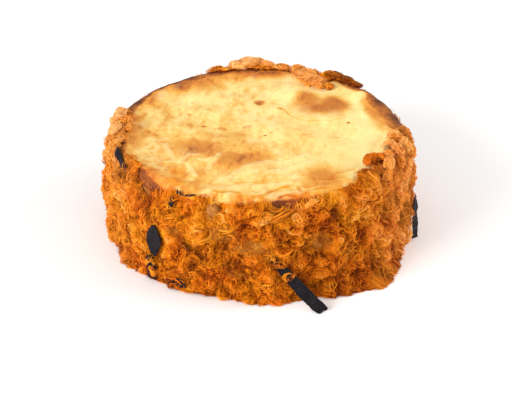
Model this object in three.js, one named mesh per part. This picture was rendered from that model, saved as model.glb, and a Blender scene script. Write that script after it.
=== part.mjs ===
// Cheese sponge cake: a round sponge under a baked cheese layer. Meat floss coats the side and climbs
// over the rim in places, and strips of roasted seaweed are pressed into the floss.
// Millimetres, +Z up, origin at the centre of the base, front of the cake towards -Y.
// Angles are in degrees round the cake, from the front towards +X.
import * as THREE from "three";
import { ParametricGeometry } from "three/addons/geometries/ParametricGeometry.js";

const { degToRad, lerp, radToDeg, smoothstep } = THREE.MathUtils;

// Driving dimensions of the bare cake
const CAKE_RADIUS = 76; // a 6-inch tin
const RIM_HEIGHT = 57;
const CHEESE_THICKNESS = 5;
const SHOULDER_RADIUS = 4.5; // rounding of the baked edge
const LIP_DROP = 2; // the browned rim stands this far above the cheese inside it
const LIP_RUN = 10; // width over which the rim slopes down
const DOME_RISE = 1; // the middle swells a little again
const CHEESE_WAVE = { height: 0.7, acrossX: 11, acrossY: 9, slanting: 8, fade: 20 }; // slow waves
const FOOT_CHAMFER = 1;
const CLEARANCE = 0.5; // between neighbouring pieces
const LAP_CLEARANCE = 1; // under floss that lies on the rim

// Driving dimensions of the floss coat
const COAT_THICKNESS = 3;
const COAT_RIM_SHARE = 0.45; // share of the thickness that is left on top of the rim
const COAT_RIM_RUN = [46, 58]; // distances up the outline between which it thins to that
const COAT_EDGE_THICKNESS = 1.2;
const COAT_EDGE_TAPER = 5; // distance over which the coat thins towards its upper edge
const COAT_REACH = 53; // distance up the cake's outline where the coat neither climbs nor stops short
const COAT_WOBBLE = { height: 0.8, waves: [11, 17] }; // waves of its upper edge in one turn of the cake
const TUFT_COUNT = 210;
const TUFT_REACH = [4.5, 9]; // radius of the smallest and largest tuft
const TUFT_HEIGHT = [0.8, 3.2];
const TUFT_RUN = 65; // tufts lie up to this distance up the outline

// Driving dimensions of the thick shred of floss that has curled up on the cheese beside the rim
const CURL_ANGLE = 55.5;
const CURL_RADIUS = 71.3; // from the cake's axis to the middle of the curl
const CURL_FACING = 32; // angle that its hollow side faces
const CURL_BEND = 4.3; // radius of the curl itself
const CURL_SWEEP = 205; // degrees of the curl
const CURL_THICKNESS = 4.3;

// Driving dimensions of the seaweed
const NORI_THICKNESS = 0.6;
const NORI_BED = 3.8; // thickness of floss under a strip on the side
const NORI_WAVE = { height: 0.5, along: 9, aside: 12.5 };
const NORI_BED_MARGIN = [1.5, 5]; // the floss is flat out to the first distance and free past the second

// Fineness of the faces
const LATHE_TURNS = 72;
const CHEESE_RINGS = 14;
const SHOULDER_STEPS = 4;
const COAT_TURNS = 144;
const COAT_OUTER_STEPS = 20;
const COAT_SIDE_STEPS = 2;
const COAT_INNER_STEPS = COAT_SIDE_STEPS + SHOULDER_STEPS + 2;
const COAT_LEAST_STEP = 0.15;
const CURL_STEPS = [8, 12];
const NORI_STEPS = [10, 2];

// Where the floss climbs over the rim, or stops short of it and leaves crust bare:
// middle angle, half width in degrees, and change of the coat's reach
const CLIMBS = [
  { angle: -161, width: 5, rise: 3 },
  { angle: -133, width: 22, rise: -2.5 },
  { angle: -98, width: 10, rise: 9 },
  { angle: -84, width: 7, rise: 6 },
  { angle: -68, width: 10, rise: 5.5 },
  { angle: -54, width: 5, rise: 4 },
  { angle: -47.5, width: 6.5, rise: -7 },
  { angle: -27, width: 10, rise: 5.5 },
  { angle: -4, width: 8, rise: 2.5 },
  { angle: 9.5, width: 5, rise: -2 },
  { angle: 34, width: 12, rise: 3.5 },
  { angle: 47, width: 4.5, rise: 4.5 },
  { angle: 57, width: 12, rise: 2.8 },
  { angle: 80, width: 9, rise: 9.5 },
  { angle: 112, width: 17, rise: -2 },
  { angle: 143, width: 7, rise: 6 },
  { angle: 156, width: 9, rise: 14 },
  { angle: -176, width: 14, rise: 6.5 },
];

// Clumps of floss that stand out on the rim and at both sides: place of the middle (angle, distance up the
// outline), radius and height above the coat
const CLUMPS = [
  { angle: -171, run: 56, reach: 7, height: 6 },
  { angle: -180, run: 55.5, reach: 8, height: 5.5 },
  { angle: 158, run: 64, reach: 6.5, height: 3.5 },
  { angle: 151, run: 65, reach: 5.5, height: 3 },
  { angle: 144, run: 56, reach: 7, height: 2.5 },
  { angle: 82, run: 58, reach: 9, height: 3.5 },
  { angle: 91, run: 30, reach: 15, height: 3.8 },
  { angle: 80, run: 17, reach: 13, height: 4.5 },
  { angle: -88, run: 24, reach: 17, height: 4.5 },
  { angle: 45, run: 53, reach: 9, height: 4.5 },
];

// Floss that has slid down and lies round the foot: middle angle, half width and how far out it reaches
const SKIRTS = [
  { angle: 44, width: 20, spread: 11 },
  { angle: 5, width: 9, spread: 4 },
  { angle: -56, width: 12, spread: 2 },
  { angle: -140, width: 20, spread: 3 },
  { angle: 150, width: 16, spread: 4 },
];
const SKIRT_HEIGHT = 5;

// Seaweed strips: place of the middle (angle, distance up the outline), size, tilt of the long axis from
// upright, and how much the upper and the lower end narrow. Bed is the thickness of floss under one, where
// it isn't the usual one. Some leave the coat: lean is how far out the lower end stands, bend how late it
// starts to (0 for all along), and flare how much further out one long edge stands.
const NORI = [
  {
    name: "nori_upper_left", angle: -66.3, run: 54.8, length: 17, width: 2.1, tilt: -83, narrow: [0.15, 0.15],
    bed: 2.2,
  },
  { name: "nori_left", angle: -41.2, run: 25, length: 18, width: 9.4, tilt: 3, narrow: [0.75, 0.75] },
  { name: "nori_left_foot", angle: -43, run: 8.5, length: 13, width: 6, tilt: -8, narrow: [0.3, 0.3] },
  { name: "nori_left_heel", angle: -31.5, run: 5, length: 11, width: 6, tilt: 75, narrow: [0.3, 0.3] },
  {
    name: "nori_rim", angle: -28.5, run: 55.2, length: 10, width: 1.3, tilt: 87, narrow: [0.8, 0.1],
    bed: 2.2,
  },
  {
    name: "nori_rim_lower", angle: -33, run: 50, length: 7, width: 2.6, tilt: 14, narrow: [0.4, 0.4],
    bed: 3,
  },
  { name: "nori_fleck", angle: -27, run: 27.3, length: 5, width: 2, tilt: -40, narrow: [0.5, 0.5] },
  {
    name: "nori_front", angle: 12, run: 13.5, length: 34, width: 5.8, tilt: -38, narrow: [0.55, 0.05],
    lean: 13, bend: 2,
  },
  {
    name: "nori_right", angle: 77.5, run: 14, length: 25, width: 4, tilt: 2, narrow: [0.1, 0.35],
    bed: 6, bend: 0, flare: 3,
  },
  { name: "nori_back_right", angle: 128, run: 30, length: 22, width: 7, tilt: 25, narrow: [0.3, 0.3] },
  { name: "nori_back", angle: 177, run: 20, length: 26, width: 7, tilt: -50, narrow: [0.2, 0.2] },
  { name: "nori_back_left", angle: -128, run: 36, length: 18, width: 8, tilt: 70, narrow: [0.5, 0.5] },
];

const FLOSS = new THREE.MeshStandardMaterial({ color: 0xe08a2c, roughness: 0.85, metalness: 0 });
const SPONGE = new THREE.MeshStandardMaterial({ color: 0xb5742e, roughness: 0.9, metalness: 0 });
const CHEESE = new THREE.MeshStandardMaterial({ color: 0xf9dc8c, roughness: 0.5, metalness: 0 });
const SEAWEED = new THREE.MeshStandardMaterial({ color: 0x25222b, roughness: 0.65, metalness: 0 });

const fraction = (x) => x - Math.floor(x);
const turnBetween = (a, b) => 360 * (fraction((a - b) / 360 + 0.5) - 0.5);
const bell = (x, width) => Math.exp(-((x / width) ** 2));

// Height of the cheese's surface before its waves: a raised rim, a slope inwards and a low dome.
const LIP_OUTER = CAKE_RADIUS - SHOULDER_RADIUS;
const LIP_INNER = LIP_OUTER - LIP_RUN;

function cheeseHeight(radius) {
  const dome = DOME_RISE * (1 - Math.min(1, radius / LIP_INNER) ** 2);
  return RIM_HEIGHT - LIP_DROP * (1 - smoothstep(radius, LIP_INNER, LIP_OUTER)) + dome;
}

// Slow waves of the melted cheese, which die out before the rim.
function cheeseWave(x, y) {
  const { height, acrossX, acrossY, slanting, fade } = CHEESE_WAVE;
  const inside = 1 - smoothstep(Math.hypot(x, y), LIP_INNER - fade, LIP_INNER);
  const crossed = Math.sin(x / acrossX) * Math.cos(y / acrossY);
  return height * inside * (crossed + Math.sin((x + 2 * y) / slanting) / 2);
}

// The bare cake's outline, followed from the floor up the side, round the shoulder and in across the
// rim. At a distance run along it, gives radius, height and the angle of the surface above upright.
const SIDE_RUN = RIM_HEIGHT - SHOULDER_RADIUS;
const SHOULDER_RUN = (SHOULDER_RADIUS * Math.PI) / 2;

function outline(run) {
  if (run <= SIDE_RUN) return { radius: CAKE_RADIUS, height: run, slope: 0 };
  const slope = Math.min((run - SIDE_RUN) / SHOULDER_RADIUS, Math.PI / 2);
  const inwards = Math.max(0, run - SIDE_RUN - SHOULDER_RUN);
  const radius = LIP_OUTER + SHOULDER_RADIUS * Math.cos(slope) - inwards;
  if (inwards > 0) return { radius, height: cheeseHeight(radius), slope };
  return { radius, height: SIDE_RUN + SHOULDER_RADIUS * Math.sin(slope), slope };
}

// The point that lies depth outside the cake's outline, past the clearance that the coat keeps.
function outside(angle, run, depth, target = new THREE.Vector3()) {
  const { radius, height, slope } = outline(run);
  const off = depth + lerp(CLEARANCE, LAP_CLEARANCE, Math.sin(slope));
  const r = radius + off * Math.cos(slope);
  const turn = degToRad(angle);
  return target.set(r * Math.sin(turn), -r * Math.cos(turn), height + off * Math.sin(slope));
}

// Tufts are spread evenly over the coat by the two-dimensional golden ratio, and their sizes drawn from
// two more irrational steps.
const TUFT_STEPS = { angle: 0.7548776662, run: 0.5698402910, reach: 0.6180339887, height: 0.4142135624 };
const spreadTufts = Array.from({ length: TUFT_COUNT }, (_, k) => ({
  angle: 360 * fraction(k * TUFT_STEPS.angle),
  run: TUFT_RUN * fraction(k * TUFT_STEPS.run),
  reach: lerp(...TUFT_REACH, fraction(k * TUFT_STEPS.reach)),
  height: lerp(...TUFT_HEIGHT, fraction(k * TUFT_STEPS.height)),
}));

// Height of the highest of some tufts over a place: each is a dome that meets its neighbours in a crease.
function tuftHeight(tufts, angle, run) {
  let highest = 0;
  for (const tuft of tufts) {
    const across = degToRad(turnBetween(angle, tuft.angle)) * CAKE_RADIUS;
    const share = Math.hypot(across, run - tuft.run) / tuft.reach;
    if (share < 1) highest = Math.max(highest, tuft.height * (1 - share ** 2));
  }
  return highest;
}

// How far up the outline the coat reaches at an angle.
function coatReach(angle) {
  let reach = COAT_REACH;
  for (const waves of COAT_WOBBLE.waves) reach += COAT_WOBBLE.height * Math.sin(degToRad(angle) * waves);
  for (const climb of CLIMBS) {
    reach += climb.rise * Math.exp(-((turnBetween(angle, climb.angle) / climb.width) ** 4));
  }
  return reach;
}

// A strip's own measures of a place on the coat: distance along it, from its upper end down, and across.
function onStrip(strip, angle, run) {
  const tilt = degToRad(strip.tilt);
  const across = degToRad(turnBetween(angle, strip.angle)) * CAKE_RADIUS;
  const up = run - strip.run;
  return {
    along: -up * Math.cos(tilt) - across * Math.sin(tilt),
    aside: across * Math.cos(tilt) - up * Math.sin(tilt),
  };
}

// Thickness of the coat: a base with tufts, thinner on the rim apart from the clumps there and towards the
// upper edge, spread out at the foot and pressed flat under each strip of seaweed.
function coatThickness(angle, run) {
  const rise = smoothstep(coatReach(angle) - run, 0, COAT_EDGE_TAPER);
  const left = lerp(1, COAT_RIM_SHARE, smoothstep(run, ...COAT_RIM_RUN));
  const spread = left * tuftHeight(spreadTufts, angle, run);
  const full = left * COAT_THICKNESS + Math.max(spread, tuftHeight(CLUMPS, angle, run));
  let thickness = lerp(COAT_EDGE_THICKNESS, full, rise);
  for (const skirt of SKIRTS) {
    const reach = skirt.spread * bell(turnBetween(angle, skirt.angle), skirt.width);
    thickness += reach * Math.exp(-run / SKIRT_HEIGHT);
  }
  for (const strip of NORI) {
    const { along, aside } = onStrip(strip, angle, run);
    const apart = Math.max(Math.abs(along) - strip.length / 2, Math.abs(aside) - strip.width / 2);
    const pressed = 1 - smoothstep(apart, ...NORI_BED_MARGIN);
    thickness = lerp(thickness, Math.min(thickness, strip.bed ?? NORI_BED), pressed);
  }
  return thickness;
}

// The sponge: a plain round of cake with its foot a little rounded.
function spongeGeometry() {
  const top = RIM_HEIGHT - CHEESE_THICKNESS - CLEARANCE;
  const profile = [
    new THREE.Vector2(0, 0),
    new THREE.Vector2(CAKE_RADIUS - FOOT_CHAMFER, 0),
    new THREE.Vector2(CAKE_RADIUS, FOOT_CHAMFER),
    new THREE.Vector2(CAKE_RADIUS, top),
    new THREE.Vector2(0, top),
  ];
  return new THREE.LatheGeometry(profile, LATHE_TURNS).rotateX(Math.PI / 2);
}

// The cheese: a disc with a flat underside, a rounded shoulder, a raised rim and a gently waved top.
function cheeseGeometry() {
  const under = RIM_HEIGHT - CHEESE_THICKNESS;
  const profile = [new THREE.Vector2(0, under), new THREE.Vector2(CAKE_RADIUS, under)];
  for (let step = 0; step < SHOULDER_STEPS; step += 1) {
    const { radius, height } = outline(SIDE_RUN + (SHOULDER_RUN * step) / SHOULDER_STEPS);
    profile.push(new THREE.Vector2(radius, height));
  }
  for (let ring = 0; ring <= CHEESE_RINGS; ring += 1) {
    const radius = LIP_OUTER * (1 - ring / CHEESE_RINGS);
    profile.push(new THREE.Vector2(radius, cheeseHeight(radius)));
  }
  const geometry = new THREE.LatheGeometry(profile, LATHE_TURNS).rotateX(Math.PI / 2);
  const position = geometry.attributes.position;
  for (let i = 0; i < position.count; i += 1) {
    const [x, y, z] = [position.getX(i), position.getY(i), position.getZ(i)];
    if (z > under) position.setZ(i, z + cheeseWave(x, y));
  }
  return geometry;
}

// Corners of the coat's inside, from the floor up: a few on the upright side, more round the shoulder and
// one across the rim. Where the coat stops short they crowd under its edge.
function innerRun(step, reach) {
  const round = Math.min(Math.max(step - COAT_SIDE_STEPS, 0), SHOULDER_STEPS) / SHOULDER_STEPS;
  const side = Math.min(step, COAT_SIDE_STEPS) / COAT_SIDE_STEPS;
  const across = Math.max(0, step - COAT_SIDE_STEPS - SHOULDER_STEPS);
  const run = SIDE_RUN * side + SHOULDER_RUN * round + (LIP_RUN / 2) * across;
  return Math.min(run, reach - COAT_LEAST_STEP * (COAT_INNER_STEPS - step));
}

// The floss coat: one closed band round the cake. Its section goes up the tufted outside, over the
// upper edge and down the inside, a clearance away from the cake.
function flossGeometry() {
  const corners = COAT_OUTER_STEPS + 2 + COAT_INNER_STEPS;
  const point = (u, v, target) => {
    const corner = Math.round(u * corners) % corners;
    const angle = (-360 * (Math.round(v * COAT_TURNS) % COAT_TURNS)) / COAT_TURNS;
    const reach = coatReach(angle);
    const inner = corners - 1 - corner;
    if (inner < COAT_INNER_STEPS) {
      outside(angle, innerRun(inner, reach), 0, target);
    } else if (inner === COAT_INNER_STEPS) {
      outside(angle, reach, 0, target);
    } else {
      const run = (reach * corner) / COAT_OUTER_STEPS;
      outside(angle, run, coatThickness(angle, run), target);
    }
  };
  return new ParametricGeometry(point, corners, COAT_TURNS);
}

// The curled shred: a thick thread bent round an upright axis, round at both ends, that lies on the rim with
// its hollow side towards the front.
function curlGeometry() {
  const [sides, steps] = CURL_STEPS;
  const outwards = degToRad(CURL_ANGLE - 90);
  const facing = degToRad(CURL_FACING - 90);
  const level = RIM_HEIGHT + CLEARANCE + CURL_THICKNESS / 2;
  const centre = new THREE.Vector3(Math.cos(outwards), Math.sin(outwards), 0).multiplyScalar(CURL_RADIUS);
  const point = (u, v, target) => {
    const share = Math.round(v * steps) / steps;
    const side = (-2 * Math.PI * (Math.round(u * sides) % sides)) / sides;
    const turn = facing + Math.PI + degToRad(CURL_SWEEP) * (share - 0.5);
    const thick = (CURL_THICKNESS / 2) * Math.sqrt(1 - (2 * share - 1) ** 4);
    const bend = CURL_BEND + thick * Math.cos(side);
    target.set(bend * Math.cos(turn), bend * Math.sin(turn), level + thick * Math.sin(side)).add(centre);
  };
  return new ParametricGeometry(point, sides, steps);
}

// How far a place on a strip stands out from its bed: most at the lower end, or alike all along.
function leanOut({ lean = 0, bend = 1, flare = 0 }, share, cross) {
  const down = (share + 0.5) ** bend;
  return down * (lean + flare * (cross + 0.5));
}

// A strip of seaweed: a thin wavy leaf that lies on its bed of floss. Both faces are split alike, and a
// rim joins them.
function noriGeometry(strip) {
  const [lengthSteps, widthSteps] = NORI_STEPS;
  const tilt = degToRad(strip.tilt);
  const place = (i, j, face) => {
    const share = i / lengthSteps - 0.5; // from -0.5 at the upper end to 0.5 at the lower
    const along = share * strip.length;
    const narrow = 1 - strip.narrow[share < 0 ? 0 : 1] * Math.abs(2 * share) ** 1.5;
    const cross = j / widthSteps - 0.5;
    const aside = cross * strip.width * narrow;
    const across = aside * Math.cos(tilt) - along * Math.sin(tilt);
    const run = strip.run - along * Math.cos(tilt) - aside * Math.sin(tilt);
    const ripple = 2 * Math.PI * (along / NORI_WAVE.along + aside / NORI_WAVE.aside);
    const wave = (NORI_WAVE.height * (1 - Math.cos(ripple))) / 2;
    const lean = leanOut(strip, share, cross);
    const pastFoot = Math.max(0, -run); // lies on along the floor
    const depth = (strip.bed ?? NORI_BED) + CLEARANCE + wave + lean + pastFoot + face * NORI_THICKNESS;
    const angle = strip.angle + radToDeg(across / CAKE_RADIUS);
    const point = outside(angle, Math.max(0, run), depth);
    point.z = Math.max(point.z, CLEARANCE / 2 + face * NORI_THICKNESS);
    return point.toArray();
  };
  const columns = widthSteps + 1;
  const perFace = columns * (lengthSteps + 1);
  const points = [];
  const triangles = [];
  for (const face of [0, 1]) {
    for (let i = 0; i <= lengthSteps; i += 1) {
      for (let j = 0; j <= widthSteps; j += 1) points.push(...place(i, j, face));
    }
  }
  const at = (i, j, face) => face * perFace + i * columns + j;
  for (let i = 0; i < lengthSteps; i += 1) {
    for (let j = 0; j < widthSteps; j += 1) {
      const [a, b, c, d] = [at(i, j, 1), at(i + 1, j, 1), at(i + 1, j + 1, 1), at(i, j + 1, 1)];
      triangles.push(a, b, c, a, c, d);
      triangles.push(c - perFace, b - perFace, a - perFace, d - perFace, c - perFace, a - perFace);
    }
  }
  const rim = [];
  for (let i = 0; i < lengthSteps; i += 1) rim.push(at(i, 0, 0));
  for (let j = 0; j < widthSteps; j += 1) rim.push(at(lengthSteps, j, 0));
  for (let i = lengthSteps; i > 0; i -= 1) rim.push(at(i, widthSteps, 0));
  for (let j = widthSteps; j > 0; j -= 1) rim.push(at(0, j, 0));
  rim.forEach((low, k) => {
    const next = rim[(k + 1) % rim.length];
    triangles.push(low, next, next + perFace, low, next + perFace, low + perFace);
  });
  const geometry = new THREE.BufferGeometry();
  geometry.setAttribute("position", new THREE.Float32BufferAttribute(points, 3));
  geometry.setIndex(triangles);
  geometry.computeVertexNormals();
  return geometry;
}

function piece(name, geometry, material) {
  const mesh = new THREE.Mesh(geometry, material);
  mesh.name = name;
  return mesh;
}

const cake = new THREE.Group();
cake.name = "cheese_sponge_cake";
cake.add(piece("sponge", spongeGeometry(), SPONGE));
cake.add(piece("cheese_top", cheeseGeometry(), CHEESE));
cake.add(piece("floss_coat", flossGeometry(), FLOSS));
cake.add(piece("floss_curl", curlGeometry(), FLOSS));

const seaweed = new THREE.Group();
NORI.forEach((strip) => seaweed.add(piece(strip.name, noriGeometry(strip), SEAWEED)));
cake.add(seaweed);

export default cake;
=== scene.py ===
import bpy
import numpy as np
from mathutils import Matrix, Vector


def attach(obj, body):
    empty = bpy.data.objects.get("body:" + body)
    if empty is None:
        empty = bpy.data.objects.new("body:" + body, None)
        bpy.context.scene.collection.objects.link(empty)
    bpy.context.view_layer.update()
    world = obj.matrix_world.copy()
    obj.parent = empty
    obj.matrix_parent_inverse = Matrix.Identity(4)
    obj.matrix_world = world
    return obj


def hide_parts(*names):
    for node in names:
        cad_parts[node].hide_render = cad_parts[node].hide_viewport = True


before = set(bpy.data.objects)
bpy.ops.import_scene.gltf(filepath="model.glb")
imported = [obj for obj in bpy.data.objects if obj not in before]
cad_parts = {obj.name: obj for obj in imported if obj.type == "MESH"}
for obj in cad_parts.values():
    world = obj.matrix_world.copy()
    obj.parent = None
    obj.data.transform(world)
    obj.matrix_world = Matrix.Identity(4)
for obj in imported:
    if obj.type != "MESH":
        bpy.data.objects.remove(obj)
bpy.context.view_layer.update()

# The sponge: a round of crumb baked in a tin, which carries everything else. It is one solid piece with a
# thin brown crust, and shows only where the floss leaves the top of its side bare.
# Sizes in this file are in millimetres, and angles run from the cake's front towards its right.
MM = 0.001


def colour(code):
    """A colour written as six hexadecimal sRGB digits, in linear light with full alpha."""
    srgb = np.array([int(code[i:i + 2], 16) for i in (0, 2, 4)]) / 255
    linear = np.where(srgb <= 0.04045, srgb / 12.92, ((srgb + 0.055) / 1.055) ** 2.4)
    return (*linear, 1.0)


def add(tree, kind, sockets=None, **settings):
    """Adds a node to a shader tree, sets it up, and fills or links its sockets by their names or numbers.
    Colours may be given as codes."""
    made = tree.nodes.new(kind)
    for name, value in settings.items():
        setattr(made, name, value)
    for name, value in (sockets or {}).items():
        if isinstance(value, bpy.types.NodeSocket):
            tree.links.new(value, made.inputs[name])
        else:
            made.inputs[name].default_value = colour(value) if isinstance(value, str) else value
    return made


def ramp(tree, factor, *stops):
    """The colour output of a ramp whose stops are pairs of a position and a colour code."""
    made = add(tree, "ShaderNodeValToRGB", {"Fac": factor})
    elements = made.color_ramp.elements
    while len(elements) < len(stops):
        elements.new(1.0)
    for element, (position, code) in zip(elements, stops):
        element.position = position
        element.color = colour(code)
    return made.outputs["Color"]


def number(tree, operation, *values):
    """The output of a sum, product or other operation on numbers, given as sockets or values."""
    return add(tree, "ShaderNodeMath", dict(enumerate(values)), operation=operation).outputs[0]


def new_material(name, **shader_values):
    """A material with one Principled shader and its fixed values; gives the material, tree and shader."""
    material = bpy.data.materials.new(name)
    material.use_nodes = True
    shader = material.node_tree.nodes["Principled BSDF"]
    for socket, value in shader_values.items():
        shader.inputs[socket.replace("_", " ")].default_value = value
    return material, material.node_tree, shader


def bump(tree, shader, height, distance):
    """Gives a shader relief of that depth in millimetres from a height between 0 and 1."""
    relief = add(tree, "ShaderNodeBump", {"Height": height, "Distance": distance * MM, "Strength": 1.0})
    tree.links.new(relief.outputs["Normal"], shader.inputs["Normal"])


# Mottling that all the surfaces share: broad clouds of a stated size in millimetres, and a fine grain an
# eighth as large.
mottle = bpy.data.node_groups.new("baked mottle", "ShaderNodeTree")
for socket, way in (("Size", "INPUT"), ("Clouds", "OUTPUT"), ("Grain", "OUTPUT")):
    mottle.interface.new_socket(socket, in_out=way, socket_type="NodeSocketFloat")
mottle_in = mottle.nodes.new("NodeGroupInput").outputs
mottle_out = mottle.nodes.new("NodeGroupOutput").inputs
mottle_place = add(mottle, "ShaderNodeTexCoord").outputs["Object"]
for socket, finer in (("Clouds", 1.0), ("Grain", 8.0)):
    scale = number(mottle, "DIVIDE", finer / MM, mottle_in["Size"])
    noise = add(mottle, "ShaderNodeTexNoise", {"Vector": mottle_place, "Scale": scale, "Detail": 4.0})
    mottle.links.new(noise.outputs["Fac"], mottle_out[socket])


def mottling(tree, size):
    """The outputs of mottling of a size in millimetres."""
    return add(tree, "ShaderNodeGroup", {"Size": size}, node_tree=mottle).outputs


def mottled_material(name, size, stops, relief, grain=0.0, **shader_values):
    """A material whose colour is a ramp over mottling of a size, its clouds plus a share of its grain, with
    relief of that depth in millimetres from the grain."""
    material, tree, shader = new_material(name, **shader_values)
    patchy = mottling(tree, size)
    level = number(tree, "MULTIPLY_ADD", patchy["Grain"], grain, patchy["Clouds"])
    tree.links.new(ramp(tree, level, *stops), shader.inputs["Base Color"])
    bump(tree, shader, patchy["Grain"], relief)
    return material


crust_material = mottled_material(
    "sponge crust", 7.0, [(0.3, "7A3C14"), (0.5, "A05A22"), (0.72, "BE7C3C")], 0.8,
    Roughness=0.85, Specular_IOR_Level=0.2)
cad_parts["sponge"].data.materials.clear()
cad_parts["sponge"].data.materials.append(crust_material)

# The cheese: soft cheese and egg spread over the sponge and baked with it. It set to a thin skin that is
# pale in the middle, golden at the left, scorched in patches and dark along the raised rim, with strands,
# specks and creases in it.
CAKE_RADIUS = 76.0
RIM_HEIGHT = 57.0
SHOULDER_RADIUS = 4.5
LIP_DROP = 2.0
LIP_RUN = 10.0
DOME_RISE = 1.0
LIP_OUTER = CAKE_RADIUS - SHOULDER_RADIUS
LIP_INNER = LIP_OUTER - LIP_RUN
SIDE_RUN = RIM_HEIGHT - SHOULDER_RADIUS
SHOULDER_RUN = SHOULDER_RADIUS * np.pi / 2
CHEESE_COLUMNS = 640
CHEESE_SHOULDER_RINGS = 18
CHEESE_RINGS = 126
CHEESE_SKIRT = 49.6  # how far up the outline the edge of the skin lies, over the side of the sponge
CHEESE_UNDERSIDE = 52.0
CHEESE_OVERHANG = 0.25  # how far the skin stands outside the sponge
CHEESE_WAVE = {"height": 0.7, "across_x": 11, "across_y": 9, "slanting": 8, "fade": 20}
SKIN_SLANT = 33.0
SKIN_SQUEEZE = 0.6
RIM_LUMPS_START = 4.0  # outwards from the inner edge of the lip
CHEESE_SKIRT_SLOPE = 0.2
CHEESE_SKIRT_RELIEF = 0.4  # the share of the relief that is left on the upright part of the edge

# Drifts, each a list of a size, a depth and a seed: the skin's lumps, the rim's, its blotches and spots, the
# warp of its patches' edges, its pale clouds, which are partly painted highlight, and the wandering and the
# mottling of its brown edge
CHEESE_LUMPS = [(9.0, 0.3, 90), (4.5, 0.14, 45), (2.2, 0.06, 22)]
RIM_LUMPS = [(6.0, 0.4, 3), (2.5, 0.15, 4)]
BLOTCHES = [(24.0, 0.1, 241), (11.0, 0.07, 111), (5.0, 0.06, 51), (2.4, 0.06, 25), (1.3, 0.07, 14)]
BROWN_SPOTS = [(5.5, 0.08, 57), (2.6, 0.1, 28)]
PATCH_WARP = [(9.0, 0.2, 8), (4.0, 0.14, 9), (1.6, 0.06, 10)]
PALE_AND_HIGHLIGHT_CLOUDS = [(8.0, 1.0, 81), (3.2, 0.5, 82)]
EDGE_WANDER = [(7.0, 1.3, 21), (2.6, 0.4, 22)]
EDGE_MOTTLE = [(4.0, 0.1, 23), (1.7, 0.08, 24)]

# How brown the skin is before its patches, and how much less or more so in some places
BROWNING = {"most": 0.32, "right": 0.18, "back": 0.15, "front_left": 0.03}

# How ragged each kind of patch is, and where it starts to fade and ends, as shares of its size
PATCH_EDGES = {"scorch": (0.8, 0.1, 1.5), "speck": (2.0, 0.4, 1.1), "stain": (2.6, 0.2, 1.3)}

# Scorched patches: middle, half length and half width, turn in degrees from the cake's left-right line,
# and how brown they are
SCORCHES = [
    (61, 22, 5, 18, 20, 0.4), (-63, 0, 5, 24, 0, 0.46), (-52, 40, 12, 8, 50, 0.3),
    (-31, 54, 13, 9, 15, 0.44), (-42, 53, 5, 7, -20, 0.5), (2, 68, 14, 5, 0, 0.55), (41, 20, 8, 5, 30, 0.3),
    (33, 29, 17, 17, 0, 0.4), (35, 29, 14, 10, 0, 0.68), (26, 39, 8, 11, 0, 0.62), (42, 34, 8, 10, 0, 0.64),
    (-46, -13, 14, 7, 4, 0.44), (-31, -19, 13, 11, -3, 0.6), (-8, -15, 10, 8, 0, 0.42),
    (-14, -35, 11, 10, 15, 0.54), (-3, -28, 10, 9, -10, 0.56), (-24, -4, 9, 4, 0, 0.42),
    (-14, -4, 7, 4, 0, 0.42), (34, -54, 12, 10, 15, 0.42), (33, -46, 10, 10, 10, 0.58),
]

# Places stained golden by the floss, in the same way
STAINS = [
    (-42, -43, 7, 5, -35, 0.6), (-52, -48, 9, 5, -45, 0.5), (-41, -57, 11, 6, -35, 0.85),
    (34, -58, 12, 5, 20, 0.55), (31, -62, 14, 4, 25, 0.55), (-32, -64, 10, 5, -25, 0.3),
    (-10, -71, 12, 4, 0, 0.6),
]

# Small specks of burnt cheese: middle, half length, turn, and how much browner they are
SPECKS = [
    (0, 33, 4.2, 50, 0.34), (3, -5, 1.5, 0, 0.7), (47, 10, 1.5, 60, 0.6), (6, -3, 2.6, 30, 0.25),
    (-11, 24, 1.4, 0, 0.35), (-6, 5, 2.4, 20, 0.3), (11, 27, 2.2, -30, 0.3), (-37, 19, 2.0, 0, 0.25),
    (-29, 6, 2.0, 20, 0.3), (-20, 4, 2.4, -10, 0.25), (40, -6, 2.0, 10, 0.2), (23, -6, 2.2, 0, 0.2),
]
SPECK_NARROWNESS = 0.6

# Creases where the skin folded, as chains of places that they pass through
CREASES = [
    [(10, 27), (13, 26), (16, 19), (21, 14), (27, 11), (32, 13), (38, 12), (43, 15)],
    [(13, -30), (17, -29), (23, -23), (26, -22)],
    [(-3, -72), (0, -71), (2.5, -69.5), (4.5, -67), (5.5, -65)],
    [(3, -67.5), (5, -65), (7, -62.5), (10, -60.5), (14, -59.5)],
    [(19.5, -59.5), (20, -63), (20.5, -67)],
    [(23, -61.8), (25, -60.8), (28, -59.5)],
    [(40, -44), (44, -42), (49, -40)],
    [(10, -72), (14, -71), (17.5, -70.8), (24, -69)],
    [(28.5, -64.5), (31, -63.2), (33, -63.5)],
    [(-22, -66), (-18, -67.5), (-14, -66.5), (-9, -67)],
    [(30, -50), (37, -51), (44, -48)],
]
CREASE = {"depth": 0.35, "half_width": 0.9, "bank": 0.2, "bank_apart": 1.5, "bank_width": 1.2}

# Edges of a second film of cheese that ran over the first, in the same way
FOLDS = [
    [(-18, -48), (-10, -41), (-2, -33), (4, -31), (12, -31), (21, -25)],
    [(-20, -58), (-10, -57), (0, -56), (12, -54)],
    [(7, -42), (14, -37), (22, -33)],
]

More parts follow.
